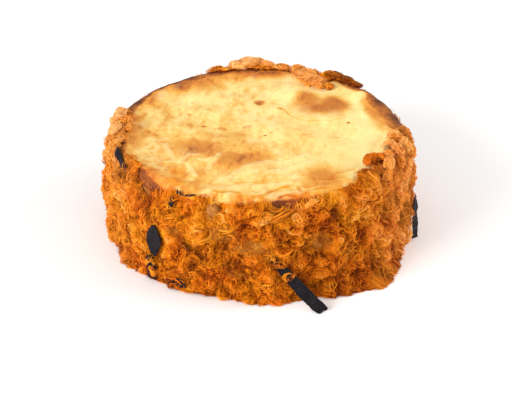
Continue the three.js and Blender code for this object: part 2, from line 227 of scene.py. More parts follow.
# Strands of melted cheese that lie on the skin at the front left, in the same way
STRANDS = [
    [(-49, -14), (-47, -22), (-44, -31)],
    [(-46, -33), (-38, -34), (-35, -39), (-32, -46)],
    [(-26, -40), (-23, -33), (-21, -26)],
    [(-39, -30), (-36, -25), (-31, -26)],
    [(-62, -25), (-59, -18), (-55, -13), (-52, -17), (-54, -22), (-58, -21)],
    [(-56, -37), (-52, -38), (-48, -41)],
    [(-58, -31), (-53, -29), (-50, -33)],
    [(-30, -31), (-26, -33), (-22, -31)],
    [(-57, -8), (-52, -10), (-48, -8)],
]

# Height and paleness of what lies on the skin
WRINKLE = (0.12, 0.3)
FILM = (0.45, 0.6)
STRAND = (0.25, 0.6)

# How far up the outline the edge is baked brown: middle angle, half width, and distance past the shoulder's
# foot. Then how brown that edge is, where it is less so, and where it is stained
BROWN_EDGE = [
    (-162, 16, 11), (-134, 16, 9), (-108, 14, 10), (-84, 12, 9.5), (-50.5, 7.5, 6.5), (16, 12, 5.4),
    (107, 21, 13.4), (141, 12, 10), (170, 20, 9.5),
]
BROWN_EDGE_LEAST = 2.0
EDGE_BROWN = {"most": 0.86, "less_inwards": 0.28, "halo": 0.22}
PALER_EDGE = [(-48, 14, 0.03), (22, 10, 0.14)]
STAINED_EDGE = [(-48, 16, 0.5), (14, 18, 0.65)]


def blend(tree, factor, first, second, mode="MIX"):
    """The colour output of a mix of two colours, given as sockets or codes."""
    sockets = {0: factor, 6: first, 7: second}
    return add(tree, "ShaderNodeMix", sockets, data_type="RGBA", blend_type=mode).outputs[2]


def attribute(tree, name):
    """The value that a mesh holds for each of its points under that name."""
    return add(tree, "ShaderNodeAttribute", attribute_name=name).outputs["Fac"]


def drift(points, size, seed):
    """Smooth noise from -1 to 1: random values on a cubic lattice of that spacing, blended between its
    corners."""
    lattice = np.random.default_rng(seed).uniform(-1, 1, (32, 32, 32))
    cell = np.floor(points / size).astype(int)
    share = points / size - cell
    share = share * share * (3 - 2 * share)
    total = 0
    for corner in np.ndindex(2, 2, 2):
        weight = np.prod(np.where(corner, share, 1 - share), axis=-1)
        i, j, k = np.moveaxis((cell + corner) % 32, -1, 0)
        total = total + weight * lattice[i, j, k]
    return total


def layered(points, layers):
    """The sum of several drifts, each with its size, depth and seed."""
    return sum(depth * drift(points, size, seed) for size, depth, seed in layers)


def smooth(value, low, high):
    """Rises from 0 at low to 1 at high along an S-shaped curve."""
    share = np.clip((value - low) / (high - low), 0, 1)
    return share * share * (3 - 2 * share)


def turn_between(angle, other):
    """The turn from other to angle, from -180 to 180 degrees."""
    return (angle - other + 180) % 360 - 180


def bell(angle, middle, width, power=4):
    """1 at a middle angle, falling on both sides to 0.37 at the half width, and more squarely at higher
    powers."""
    return np.exp(-(turn_between(angle, middle) / width) ** power)


def cheese_height(radius):
    """Height of the cheese before its relief: a raised rim, a slope inwards and a low dome."""
    dome = DOME_RISE * (1 - np.minimum(1, radius / LIP_INNER) ** 2)
    return RIM_HEIGHT - LIP_DROP * (1 - smooth(radius, LIP_INNER, LIP_OUTER)) + dome


def outline(run):
    """The bare cake's outline at a distance from the floor, up the side, round the shoulder and inwards:
    radius, height, and the slope of the surface's normal above level."""
    slope = np.clip((run - SIDE_RUN) / SHOULDER_RADIUS, 0, np.pi / 2)
    inwards = np.maximum(0, run - SIDE_RUN - SHOULDER_RUN)
    radius = LIP_OUTER + SHOULDER_RADIUS * np.cos(slope) - inwards
    rounded = SIDE_RUN + SHOULDER_RADIUS * np.sin(slope)
    height = np.where(run < SIDE_RUN, run, np.where(inwards > 0, cheese_height(radius), rounded))
    return radius, height, slope


def turned(angle, radius, height):
    """Points at an angle round the cake, a distance from its axis and a height."""
    turn = np.radians(angle)
    return np.stack(np.broadcast_arrays(radius * np.sin(turn), -radius * np.cos(turn), height), axis=-1)


def chain_distance(x, y, chain):
    """Distance from each place to the nearest stretch of a chain of places, less than zero on its right."""
    nearest = np.full(x.shape, np.inf)
    side = np.ones(x.shape)
    for (ax, ay), (bx, by) in zip(chain, chain[1:]):
        dx, dy = bx - ax, by - ay
        share = np.clip(((x - ax) * dx + (y - ay) * dy) / (dx * dx + dy * dy), 0, 1)
        apart = np.hypot(x - ax - share * dx, y - ay - share * dy)
        closer = apart < nearest
        nearest = np.where(closer, apart, nearest)
        side = np.where(closer, np.sign(dx * (y - ay) - dy * (x - ax)), side)
    return nearest * side


def patch(x, y, shape, warp, kind):
    """How much of an oval patch lies at each place, from 1 in its middle to 0 past its warped edge. Its
    shape is the middle, the half length and half width, and the turn."""
    middle_x, middle_y, half_length, half_width, turn = shape
    ragged, inner, outer = PATCH_EDGES[kind]
    c, s = np.cos(np.radians(turn)), np.sin(np.radians(turn))
    along = (x - middle_x) * c + (y - middle_y) * s
    aside = (y - middle_y) * c - (x - middle_x) * s
    return 1 - smooth(np.hypot(along / half_length, aside / half_width) + ragged * warp, inner, outer)


def grid_faces(rows, columns):
    """Quads between neighbouring rows of points, each row closed on itself."""
    row, column = np.meshgrid(np.arange(rows - 1), np.arange(columns), indexing="ij")
    corner = row * columns + column
    beside = row * columns + (column + 1) % columns
    return np.stack([corner, beside, beside + columns, corner + columns], axis=-1).reshape(-1, 4)


def end_fans(rows, columns):
    """Triangles that close the first and last row of such a grid to one more point each, which follow the
    grid's own points."""
    ring = np.arange(columns)
    last = (rows - 1) * columns + ring
    first_pole = np.full_like(ring, rows * columns)
    return np.concatenate([
        np.stack([np.roll(ring, -1), ring, first_pole], axis=-1),
        np.stack([last, np.roll(last, -1), first_pole + 1], axis=-1)])


def with_poles(value):
    """A grid's values for each point, with those of its two poles at the end."""
    return np.concatenate([value.ravel(), [value[0].mean(), value[-1].mean()]])


def build(name, points, faces, material, values=None):
    """Makes a smooth-shaded piece from points in millimetres, arrays of faces with equal corners each, its
    material, and values held for each point."""
    mesh = bpy.data.meshes.new(name)
    sizes = np.concatenate([np.full(len(f), f.shape[1]) for f in faces])
    corners = np.concatenate([f.ravel() for f in faces])
    mesh.vertices.add(len(points))
    mesh.vertices.foreach_set("co", (points * MM).astype(np.float32).ravel())
    mesh.loops.add(len(corners))
    mesh.loops.foreach_set("vertex_index", corners.astype(np.int32))
    mesh.polygons.add(len(sizes))
    mesh.polygons.foreach_set("loop_start", (np.cumsum(sizes) - sizes).astype(np.int32))
    mesh.polygons.foreach_set("use_smooth", np.ones(len(sizes), bool))
    mesh.update(calc_edges=True)
    for key, value in (values or {}).items():
        layer = mesh.attributes.new(key, "FLOAT", "POINT")
        layer.data.foreach_set("value", np.asarray(value, np.float32).ravel())
    mesh.materials.append(material)
    piece = bpy.data.objects.new(name, mesh)
    bpy.context.scene.collection.objects.link(piece)
    return piece


def skin_height(x, y, radius, flat):
    """Height of the skin over the cheese's plain form: slow waves that fade towards the lip, drifting lumps,
    and rougher ones on the rim."""
    inside = 1 - smooth(radius, LIP_INNER - CHEESE_WAVE["fade"], LIP_INNER)
    crossed = np.sin(x / CHEESE_WAVE["across_x"]) * np.cos(y / CHEESE_WAVE["across_y"])
    slanting = np.sin((x + 2 * y) / CHEESE_WAVE["slanting"]) / 2
    waves = CHEESE_WAVE["height"] * inside * (crossed + slanting)
    rim = smooth(radius, LIP_INNER + RIM_LUMPS_START, LIP_OUTER)
    return waves + layered(flat, CHEESE_LUMPS) + rim * layered(flat, RIM_LUMPS)


def skin_browning(x, y, flat):
    """How brown, scorched and stained the skin is: browner at the left and the front, with drifting blotches
    and spots that are stronger at the left, ragged patches, and streaks of stain across the front."""
    brown = BROWNING["most"] - BROWNING["right"] * smooth(x, -10, 60) - BROWNING["back"] * smooth(y, 0, 45)
    brown = brown + BROWNING["front_left"] * (1 - smooth(np.hypot(x + 40, y + 34), 12, 42))
    busy = 1 - 0.5 * smooth(x, -20, 40)
    brown = brown + busy * layered(flat, BLOTCHES)
    warp = layered(flat, PATCH_WARP)
    scorched = np.zeros_like(x)
    for *shape, depth in SCORCHES:
        share = patch(x, y, shape, warp, "scorch")
        brown = brown + np.maximum(0, depth - brown) * share
        scorched = np.maximum(scorched, share * smooth(depth, 0.45, 0.55))
    for middle_x, middle_y, size, turn, strength in SPECKS:
        shape = (middle_x, middle_y, size, SPECK_NARROWNESS * size, turn)
        brown = brown + strength * patch(x, y, shape, warp, "speck")
    for size, depth, seed in BROWN_SPOTS:
        brown = brown + depth * busy * smooth(drift(flat, size, seed), 0.25, 0.8)

    streak = smooth(drift(np.stack([x / 3, y, np.zeros_like(x)], axis=-1), 2.0, 15), 0.2, 0.8)
    stained = 0.5 * streak * smooth(-y, 36, 54)
    for *shape, strength in STAINS:
        stained = np.maximum(stained, strength * patch(x, y, shape, warp, "stain"))
    return brown, scorched, stained


def skin_folds(x, y, flat, scorched):
    """Height of what lies in and on the skin, how folded it is and how pale: creases between low banks,
    wider and stronger at the front, wrinkles at the left, edges of a second film, and strands."""
    front = smooth(-y, 48, 58)
    waver = 0.9 + 0.5 * front
    bent_x, bent_y = x + waver * drift(flat, 5.0, 11), y + waver * drift(flat, 5.0, 12)
    height, folded = np.zeros_like(x), np.zeros_like(x)
    for chain in CREASES:
        apart = np.abs(chain_distance(bent_x, bent_y, chain))
        crease = (0.65 + 0.35 * front) * (1 - smooth(apart, 0.2, 1.1 + 1.1 * front))
        folded = np.maximum(folded, crease)
        groove = 1 - smooth(apart, 0, CREASE["half_width"])
        bank = 1 - smooth(np.abs(apart - CREASE["bank_apart"]), 0, CREASE["bank_width"])
        height = height - CREASE["depth"] * groove + CREASE["bank"] * bank
    folded = folded * np.maximum(0.9 * front, smooth(drift(flat, 4.0, 13), -0.7, 0.3))

    # Pale clouds: partly paler cheese, partly painted highlight
    pale = 0.7 * (1 - scorched) * smooth(layered(flat, PALE_AND_HIGHLIGHT_CLOUDS), 0.25, 1.0)
    crumpled = 1 - smooth(np.hypot(x + 46, y + 26), 12, 30)
    wrinkles = crumpled * (1 - smooth(np.abs(drift(flat, 3.2, 91)), 0.0, 0.18))
    raised = [(wrinkles, WRINKLE)]
    for chain in FOLDS:
        inwards = -chain_distance(bent_x, bent_y, chain)
        raised.append((smooth(inwards, -1.2, 1.6) * (1 - smooth(inwards, 2, 9)), FILM))
    for chain in STRANDS:
        apart = np.abs(chain_distance(bent_x, bent_y, chain))
        raised.append((1 - smooth(apart, 0.5, 2.2), STRAND))
    for share, (rise, paleness) in raised:
        height = height + rise * share
        pale = np.maximum(pale, paleness * share)
    return height, folded, pale * (1 - folded)


shoulder_runs = np.linspace(CHEESE_SKIRT, SIDE_RUN + SHOULDER_RUN, CHEESE_SHOULDER_RINGS)
top_runs = SIDE_RUN + SHOULDER_RUN + np.linspace(0, LIP_OUTER, CHEESE_RINGS + 1)[1:-1]
cheese_rows = len(shoulder_runs) + len(top_runs)
cheese_run, cheese_angle = np.meshgrid(
    np.concatenate([shoulder_runs, top_runs]), np.arange(CHEESE_COLUMNS) * 360 / CHEESE_COLUMNS,
    indexing="ij")
radius, height, slope = outline(cheese_run)
plain = turned(cheese_angle, radius, height)

# The drifts' lattice is turned off the cake's own lines, and squeezed so that lumps and blotches are longer
# from front to back
x, y = plain[..., 0], plain[..., 1]
slant = np.radians(SKIN_SLANT)
flat = np.stack([
    x * np.cos(slant) - SKIN_SQUEEZE * y * np.sin(slant),
    x * np.sin(slant) + SKIN_SQUEEZE * y * np.cos(slant),
    np.zeros_like(x)], axis=-1)
brown, scorched, stained = skin_browning(x, y, flat)
fold_height, folded, pale = skin_folds(x, y, flat, scorched)
relief = skin_height(x, y, radius, flat) + fold_height
relief = relief * np.where(slope < CHEESE_SKIRT_SLOPE, CHEESE_SKIRT_RELIEF, 1.0)
points = turned(
    cheese_angle, radius + CHEESE_OVERHANG + relief * np.cos(slope), height + relief * np.sin(slope))

edge_run = SIDE_RUN + BROWN_EDGE_LEAST + layered(plain, EDGE_WANDER)
for middle, width, past in BROWN_EDGE:
    edge_run = edge_run + (past - BROWN_EDGE_LEAST) * bell(cheese_angle, middle, width)
edge = smooth(edge_run - cheese_run, -1.8, 2.4)
halo = smooth(edge_run - cheese_run, -8, 0.5)
burnt = EDGE_BROWN["most"] - EDGE_BROWN["less_inwards"] * smooth(cheese_run, 57, 67)
burnt = burnt + layered(plain, EDGE_MOTTLE)
for middle, width, paler in PALER_EDGE:
    burnt = burnt - paler * bell(cheese_angle, middle, width)
brown = np.maximum(brown + EDGE_BROWN["halo"] * halo, edge * burnt)
pale = pale * (1 - edge)
stained = stained * (1 - edge)
for middle, width, strength in STAINED_EDGE:
    stained = np.maximum(stained, strength * edge * bell(cheese_angle, middle, width))

cheese_material, tree, shader = new_material(
    "baked cheese", Specular_IOR_Level=0.2, Subsurface_Weight=0.12, Subsurface_Scale=0.003,
    Subsurface_Radius=(1.0, 0.55, 0.2))
patchy = mottling(tree, 9.0)
fine = number(tree, "MULTIPLY_ADD", patchy["Grain"], 0.24, -0.12)
cloudy = number(tree, "MULTIPLY_ADD", patchy["Clouds"], 0.14, -0.07)
brown_level = number(tree, "ADD", number(tree, "ADD", attribute(tree, "brown"), cloudy), fine)
skin = ramp(
    tree, brown_level, (0.0, "FFEFA4"), (0.12, "FEE394"), (0.26, "F6D07E"), (0.4, "EBB65A"),
    (0.54, "DC923A"), (0.66, "C47430"), (0.76, "9E5A26"), (0.86, "784220"), (0.94, "54301C"),
    (1.0, "3A1E12"))
skin = blend(tree, attribute(tree, "stained"), skin, "FFCA3C", "MULTIPLY")
skin = blend(tree, attribute(tree, "folded"), skin, "ECC028", "MULTIPLY")
skin = blend(tree, number(tree, "MULTIPLY", attribute(tree, "pale"), 0.6), skin, "FFE8A6")
tree.links.new(skin, shader.inputs["Base Color"])
dull = number(tree, "MULTIPLY_ADD", patchy["Grain"], 0.2, 0.36)
dull = number(tree, "MULTIPLY_ADD", attribute(tree, "brown"), 0.35, dull)
tree.links.new(dull, shader.inputs["Roughness"])
bump(tree, shader, patchy["Grain"], 0.25)

poles = np.array([[0, 0, CHEESE_UNDERSIDE], [0, 0, points[-1, :, 2].mean()]])
cheese = build(
    "cheese_skin", np.concatenate([points.reshape(-1, 3), poles]),
    [grid_faces(cheese_rows, CHEESE_COLUMNS), end_fans(cheese_rows, CHEESE_COLUMNS)], cheese_material,
    {"brown": with_poles(brown), "stained": with_poles(stained), "folded": with_poles(folded),
     "pale": with_poles(pale)})
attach(cheese, "root")
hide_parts("cheese_top")

# The matted floss: dried meat teased into fibres and pressed all over the side while the cake was sticky.
# This is the felt that the loose fibres stand on. It is lumpy with tufts and deep creases, climbs over the
# rim in clumps, stops short of it elsewhere, and is flat under each strip of seaweed.
CLEARANCE = 0.5
LAP_CLEARANCE = 1.0
COAT_THICKNESS = 3.0
COAT_RIM_SHARE = 0.45
COAT_RIM_RUN = (46.0, 58.0)
COAT_EDGE_THICKNESS = 1.2
COAT_EDGE_TAPER = 5.0
COAT_REACH = 53.0
COAT_WOBBLE = {"height": 0.8, "waves": (11, 17)}
TUFT_COUNT = 210
TUFT_REACH = (4.5, 9.0)
TUFT_HEIGHT = (0.8, 3.2)
TUFT_RUN = 65.0
SKIRT_HEIGHT = 5.0
NORI_BED = 3.8
NORI_BED_MARGIN = (1.5, 5.0)
FELT_COLUMNS = 800
FELT_ROWS = 116
FELT_INNER_ROWS = 8
FELT_INSET = 1.3  # the felt lies this far inside the coat's plain form, and the fibres fill the rest
FELT_PRESSED = 0.6  # the share of that inset that is lost where it is pressed flat
FELT_BARE = {"smoother": 0.75, "lower": 0.6}
FELT_LEAST = 0.35
# The felt's tone: its middle, and painted highlight on its lumps with painted shade in its creases
FELT_TONE_AND_PAINTED_SHADE = {"middle": 0.3, "lumps": 0.22}
FELT_TONE_DRIFT = [(9.0, 0.12, 31)]
FELT_LUMPS = [(6.5, 0.85), (3.4, 0.55), (1.8, 0.28)]  # size and depth of its lumps
LOBE_SPAN = 0.3
BARE_EDGES = [(4.0, 0.25, 33), (1.8, 0.15, 34)]  # size, depth and seed of their drifts

# Steps whose multiples, less their whole part, are spread evenly from 0 to 1
SPREAD_STEPS = {"angle": 0.7548776662, "run": 0.5698402910, "reach": 0.6180339887, "height": 0.4142135624}

# Where the floss climbs over the rim or stops short: middle angle, half width, change of its reach
CLIMBS = [
    (-161, 5, 3), (-133, 22, -2.5), (-98, 10, 9), (-84, 7, 6), (-68, 10, 5.5), (-54, 5, 4),
    (-47.5, 6.5, -7), (-27, 10, 2.0), (-4, 8, 2.5), (9.5, 5, -2), (34, 12, 3.5), (47, 4.5, 4.5),
    (57, 12, 2.8), (80, 9, 9.5), (112, 17, -2), (143, 7, 6), (156, 9, 14), (184, 14, 6.5),
]

# Clumps that stand out on the rim and at both sides: angle and run of the middle, radius and height
CLUMPS = [
    (-171, 56, 7, 6), (-180, 55.5, 8, 5.5), (158, 64, 6.5, 3.5), (151, 65, 5.5, 3), (144, 56, 7, 2.5),
    (82, 58, 9, 3.5), (91, 30, 15, 3.8), (80, 17, 13, 4.5), (-88, 24, 17, 4.5), (45, 53, 9, 4.5),
]

# Floss that has slid to the foot: middle angle, half width, how far out it reaches
SKIRTS = [(44, 20, 11), (5, 9, 4), (-56, 12, 2), (-140, 20, 3), (150, 16, 4)]

# Seaweed strips: angle and run of the middle, size, tilt from upright, how much the upper and the lower end
# narrow, and the share of the locks that may lie over each half. Bed is the floss under one, lean is how
# far out its lower end stands, bend how late it starts to (0 for all along), flare how much further out one
# long edge stands, and bow how far its middle is set aside.
FLAT = {"bed": NORI_BED, "lean": 0.0, "bend": 1.0, "flare": 0.0, "bow": 0.0}
NORI = {
    name: FLAT | dict(zip(("angle", "run", "length", "width", "tilt", "narrow", "veil"), values)) | others
    for name, values, others in (
        ("nori_upper_left", (-66.3, 54.8, 17, 2.1, -83, (0.15, 0.15), (0.0, 0.05)), {"bed": 1.5}),
        ("nori_left", (-41.2, 25, 18, 9.4, 3, (0.75, 0.75), (0.0, 0.0)), {}),
        ("nori_left_foot", (-43, 8.5, 13, 6, -8, (0.3, 0.3), (0.35, 0.3)), {}),
        ("nori_left_heel", (-31.5, 5, 11, 6, 75, (0.3, 0.3), (0.45, 0.45)), {}),
        ("nori_rim", (-28.5, 55.2, 10, 0.9, 87, (0.5, -0.6), (0.3, 0.3)), {"bed": 0.0, "bow": 0.7}),
        ("nori_rim_lower", (-33, 50, 7, 2.6, 14, (0.4, 0.4), (0.25, 0.3)), {"bed": 3.0}),
        ("nori_fleck", (-27, 27.3, 5, 2, -40, (0.5, 0.5), (0.8, 0.8)), {}),
        ("nori_front", (12, 13.5, 34, 5.8, -38, (0.55, 0.05), (0.35, 0.0)), {"lean": 13.0, "bend": 2.0}),
        ("nori_right", (77.5, 14, 25, 4, 2, (0.1, 0.35), (0.0, 0.0)),
         {"bed": 6.0, "bend": 0.4, "flare": 2.2}),
        ("nori_back_right", (128, 30, 22, 7, 25, (0.3, 0.3), (0.1, 0.1)), {}),
        ("nori_back", (177, 20, 26, 7, -50, (0.2, 0.2), (0.1, 0.1)), {}),
        ("nori_back_left", (-128, 36, 18, 8, 70, (0.5, 0.5), (0.1, 0.1)), {}),
    )
}

# Places where the floss is brighter or darker than elsewhere, partly its own tone and partly painted light:
# brighter on the sides that face the lamps, and painted shade on the clump at the back right. Angle, run,
# radius and change of tone
TONE_AND_LIGHT_SPOTS = [
    (155, 65, 13, 0.35), (184, 57, 16, 0.35), (144, 56, 8, -0.1), (-88, 57, 16, 0.24), (-97, 60, 12, 0.24),
    (82, 57, 14, 0.06), (39, 51, 8, 0.25), (42, 40, 8, 0.25), (-12, 53, 16, 0.22), (-22, 48, 8, 0.15),
    (47, 54, 9, 0.14), (-60, 36, 20, 0.14), (8, 52, 5, -0.35), (20, 30, 10, -0.1), (72, 35, 26, 0.28),
    (-80, 35, 26, 0.14),
]

# Thin places where the crust shows through: angle, run, half width and half height
BARE_PLACES = [
    (-13, 38, 12, 5.5), (-3, 30.5, 11, 5.5), (-18, 47, 5, 3.5), (22, 32, 6, 6), (7, 52, 4.5, 5.5),
    (-49, 49, 6.5, 4), (-33, 33, 5, 3), (35, 20, 5, 4), (-66, 30, 5, 3), (100, 35, 8, 4), (-100, 22, 7, 4),
    (150, 33, 8, 4), (-160, 40, 8, 4), (60, 38, 4, 6), (-8, 15, 6, 3),
]


def outside(angle, run, depth):
    """Points that lie depth outside the cake's outline, past the clearance that the floss keeps."""
    radius, height, slope = outline(run)
    off = depth + CLEARANCE + (LAP_CLEARANCE - CLEARANCE) * np.sin(slope)
    return turned(angle, radius + off * np.cos(slope), height + off * np.sin(slope))


def round_side(angle, middle):
    """Distance round the cake's side from a middle angle."""
    return np.radians(turn_between(angle, middle)) * CAKE_RADIUS


def coat_reach(angle):
    """How far up the outline the floss reaches at an angle."""
    reach = COAT_REACH
    for waves in COAT_WOBBLE["waves"]:
        reach = reach + COAT_WOBBLE["height"] * np.sin(np.radians(angle) * waves)
    for middle, width, rise in CLIMBS:
        reach = reach + rise * bell(angle, middle, width)
    return reach


def on_strip(leaf, angle, run):
    """A strip's own measures of a place: distance along it from its middle downwards, distance across it,
    and how far the place is outside its length and width."""
    tilt = np.radians(leaf["tilt"])
    across = round_side(angle, leaf["angle"])
    up = run - leaf["run"]
    along = -up * np.cos(tilt) - across * np.sin(tilt)
    aside = across * np.cos(tilt) - up * np.sin(tilt)
    return along, aside, np.maximum(np.abs(along) - leaf["length"] / 2, np.abs(aside) - leaf["width"] / 2)


def pressed_by(leaf, angle, run):
    """How flat the floss is pressed by a strip of seaweed, from 0 to 1 under it."""
    return 1 - smooth(on_strip(leaf, angle, run)[2], *NORI_BED_MARGIN)


def highest_tuft(angle, run, tufts):
    """Height of the highest of some tufts over a place: domes that meet in creases."""
    highest = np.zeros(np.broadcast(angle, run).shape)
    for middle, middle_run, reach, rise in tufts:
        share = (round_side(angle, middle) ** 2 + (run - middle_run) ** 2) / reach ** 2
        np.maximum(highest, rise * (1 - share), out=highest)
    return highest


def coat_thickness(angle, run):
    """Thickness of the floss: a base with tufts, thinner on the rim apart from the clumps there and towards
    the upper edge, spread at the foot and pressed flat under each strip of seaweed."""
    spread_tufts = []
    for k in range(TUFT_COUNT):
        draw = {key: (k * step) % 1 for key, step in SPREAD_STEPS.items()}
        reach = TUFT_REACH[0] + (TUFT_REACH[1] - TUFT_REACH[0]) * draw["reach"]
        rise = TUFT_HEIGHT[0] + (TUFT_HEIGHT[1] - TUFT_HEIGHT[0]) * draw["height"]
        spread_tufts.append((360 * draw["angle"], TUFT_RUN * draw["run"], reach, rise))
    left = 1 - (1 - COAT_RIM_SHARE) * smooth(run, *COAT_RIM_RUN)
    tufts = np.maximum(left * highest_tuft(angle, run, spread_tufts), highest_tuft(angle, run, CLUMPS))
    full = smooth(coat_reach(angle) - run, 0, COAT_EDGE_TAPER)
    thickness = COAT_EDGE_THICKNESS * (1 - full) + (left * COAT_THICKNESS + tufts) * full
    for middle, width, spread in SKIRTS:
        thickness = thickness + spread * bell(angle, middle, width, 2) * np.exp(-run / SKIRT_HEIGHT)
    for leaf in NORI.values():
        thickness = thickness + pressed_by(leaf, angle, run) * np.minimum(0, leaf["bed"] - thickness)
    return thickness


def bareness(angle, run):
    """How thin the floss is, from 0 to 1 in the middle of a bare place with a ragged edge."""
    ragged = layered(outside(angle, run, COAT_THICKNESS), BARE_EDGES)
    bare = 0
    for middle, middle_run, half_width, half_height in BARE_PLACES:
        apart = np.hypot(round_side(angle, middle) / half_width, (run - middle_run) / half_height)
        bare = np.maximum(bare, 1 - smooth(apart + ragged, 0.5, 1.2))
    return bare


def tone_and_painted_light(angle, run):
    """How much brighter or darker the floss is at a place than elsewhere, as its own tone and as painted
    light and shade.
    """
    change = 0
    for middle, middle_run, reach, strength in TONE_AND_LIGHT_SPOTS:
        apart = round_side(angle, middle) ** 2 + (run - middle_run) ** 2
        change = change + strength * np.exp(-apart / (reach / 1.5) ** 2)
    return change


def lobes(points, size, seed, wander, wander_size, wander_seed):
    """Round lobes that meet in creases, from -1 to 2: drifting noise without its sign, at places that wander
    by a second drift."""
    moved = np.stack([drift(points, wander_size, wander_seed + axis) for axis in range(3)], axis=-1)
    return np.abs(drift(points + wander * moved, size, seed)) / LOBE_SPAN - 1


def felt_surface(angle, run):
    """Depth of the felt, how high it stands on its lumps from about -1 to 2, and how bare it is: the coat's
    thickness with round lumps that meet in creases, shallow where it is bare or pressed flat."""
    thickness = coat_thickness(angle, run)
    place = outside(angle, run, thickness)
    bare = bareness(angle, run)
    pressed = 0
    for leaf in NORI.values():
        pressed = np.maximum(pressed, pressed_by(leaf, angle, run))
    free = (1 - pressed) * (1 - FELT_BARE["smoother"] * bare) * smooth(coat_reach(angle) - run, -1, 4)
    lumpy = sum(depth * lobes(place, size, 65, 0.5 * size, 1.3 * size, 61) for size, depth in FELT_LUMPS)
    depth = thickness - FELT_INSET * (1 - FELT_PRESSED * pressed) - FELT_BARE["lower"] * bare
    return np.maximum(FELT_LEAST, depth + free * lumpy), lumpy, bare


def dryness_and_sheen(points):
    """How pale the floss is, from drier floss and from painted sheen on the sides that face the lamps: more
    at the far right and the far left, and most on the rim there.
    """
    x, z = points[..., 0], points[..., 2]
    right = 0.34 * smooth(x, 48, 84) + 0.2 * smooth(x, 50, 72) * smooth(z, 46, 56)
    left = 0.12 * smooth(-x, 48, 84) + 0.4 * smooth(-x, 60, 74) * smooth(z, 40, 54)
    return right + left


def floss_colour(tree, tone):
    """Colour of the floss from its tone, which runs from creases darkened with painted shade to tips
    brightened with painted highlight, drifting between yellowish and reddish orange, and paler where it is
    dry and where sheen is painted."""
    hue = number(tree, "MULTIPLY_ADD", mottling(tree, 16.0)["Clouds"], 3.0, -1.0)
    yellowish = ramp(
        tree, tone, (0.0, "6E2C02"), (0.25, "B25E04"), (0.5, "E88E0C"), (0.75, "FFA822"), (1.0, "FFBE58"))
    reddish = ramp(
        tree, tone, (0.0, "661F02"), (0.25, "AC4804"), (0.5, "E87408"), (0.75, "FF921C"), (1.0, "FFB25C"))
    pale_dry_and_sheen = ramp(tree, tone, (0.0, "96521E"), (0.35, "D08A40"), (0.65, "F4AE60"), (1.0, "FFD496"))
    return blend(tree, attribute(tree, "dry_and_sheen"), blend(tree, hue, reddish, yellowish), pale_dry_and_sheen)


felt_angle = np.arange(FELT_COLUMNS) * 360 / FELT_COLUMNS
felt_reach = coat_reach(felt_angle)
outer_run = np.linspace(0, 1, FELT_ROWS)[:, None] * felt_reach
inner_run = np.linspace(1, 0, FELT_INNER_ROWS)[:, None] * felt_reach
felt_depth, felt_lumps, felt_bare = felt_surface(felt_angle, outer_run)
points = np.concatenate([outside(felt_angle, outer_run, felt_depth), outside(felt_angle, inner_run, 0.0)])
points[..., 2] = np.maximum(points[..., 2], 0)
# The felt is painted brighter on its lumps and darker in its creases: painted highlight and painted shade
felt_tone = FELT_TONE_AND_PAINTED_SHADE["middle"] + FELT_TONE_AND_PAINTED_SHADE["lumps"] * felt_lumps
felt_tone = felt_tone + layered(points[:FELT_ROWS], FELT_TONE_DRIFT) + tone_and_painted_light(felt_angle, outer_run)

# The felt's colour has fine tangled lines over it, which are the places where a winding noise is halfway
felt_material, tree, shader = new_material("matted floss", Roughness=0.8, Specular_IOR_Level=0.1)
tangle_place = add(tree, "ShaderNodeTexCoord").outputs["Object"]
tangle = 0.0
for size in (1.5, 2.3):
    winding = add(tree, "ShaderNodeTexNoise", {
        "Vector": tangle_place, "Scale": 1 / (size * MM), "Detail": 1.0, "Distortion": 0.8}).outputs["Fac"]
    off_line = number(tree, "ABSOLUTE", number(tree, "SUBTRACT", winding, 0.5))
    tangle = number(tree, "MAXIMUM", number(tree, "MULTIPLY_ADD", off_line, -9.0, 1.0), tangle)
felt_level = number(tree, "MULTIPLY_ADD", tangle, 0.32, attribute(tree, "tone"))
felt_level = number(tree, "SUBTRACT", felt_level, 0.12)
patchy = mottling(tree, 5.0)
bare_level = number(tree, "MULTIPLY_ADD", patchy["Grain"], 0.5, patchy["Clouds"])
bare_colour = ramp(tree, bare_level, (0.5, "8C460C"), (0.75, "B26418"), (1.0, "CE8630"))
felt_colour = blend(tree, attribute(tree, "bare"), floss_colour(tree, felt_level), bare_colour)
tree.links.new(felt_colour, shader.inputs["Base Color"])
bump(tree, shader, tangle, 0.5)

felt_rows = FELT_ROWS + FELT_INNER_ROWS
first = np.arange(FELT_COLUMNS)
last = (felt_rows - 1) * FELT_COLUMNS + first
closing = np.stack([last, np.roll(last, -1), np.roll(first, -1), first], axis=-1)
hidden = np.zeros((FELT_INNER_ROWS, FELT_COLUMNS))
felt = build(
    "floss_felt", points.reshape(-1, 3), [grid_faces(felt_rows, FELT_COLUMNS), closing], felt_material,
    {"tone": np.concatenate([felt_tone, hidden]), "bare": np.concatenate([felt_bare, hidden]),
     "dry_and_sheen": dryness_and_sheen(points)})
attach(felt, "root")
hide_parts("floss_coat")

# The loose floss: fine fibres of dried meat that lie on the felt in curved locks, side by side, with single
# short ones between them. The locks arch out of the felt, cross each other and curl at the ends, and what
# stands out furthest is painted brightest as painted highlight, while fibres low in the felt's creases and
# at the foot are painted darker as painted shade.
FIBRE_SIDES = 3
FIBRE_LEAST_HEIGHT = 0.35
FIBRE_CELL_SHARE = 0.8  # how much of its cell on the map each fibre fills
FIBRE_LIE = {"length": (0.55, 1.1), "waves": 9, "height": (0.25, 0.3), "flatter_on_rim": 0.6}

# Fibres over the seaweed: how near a strip that starts, how far out the strip may stand there, and how far
# the fibres clear it
STRIP_COVER = {"margin": 0.2, "stand": 2.5, "clear": 1.3}

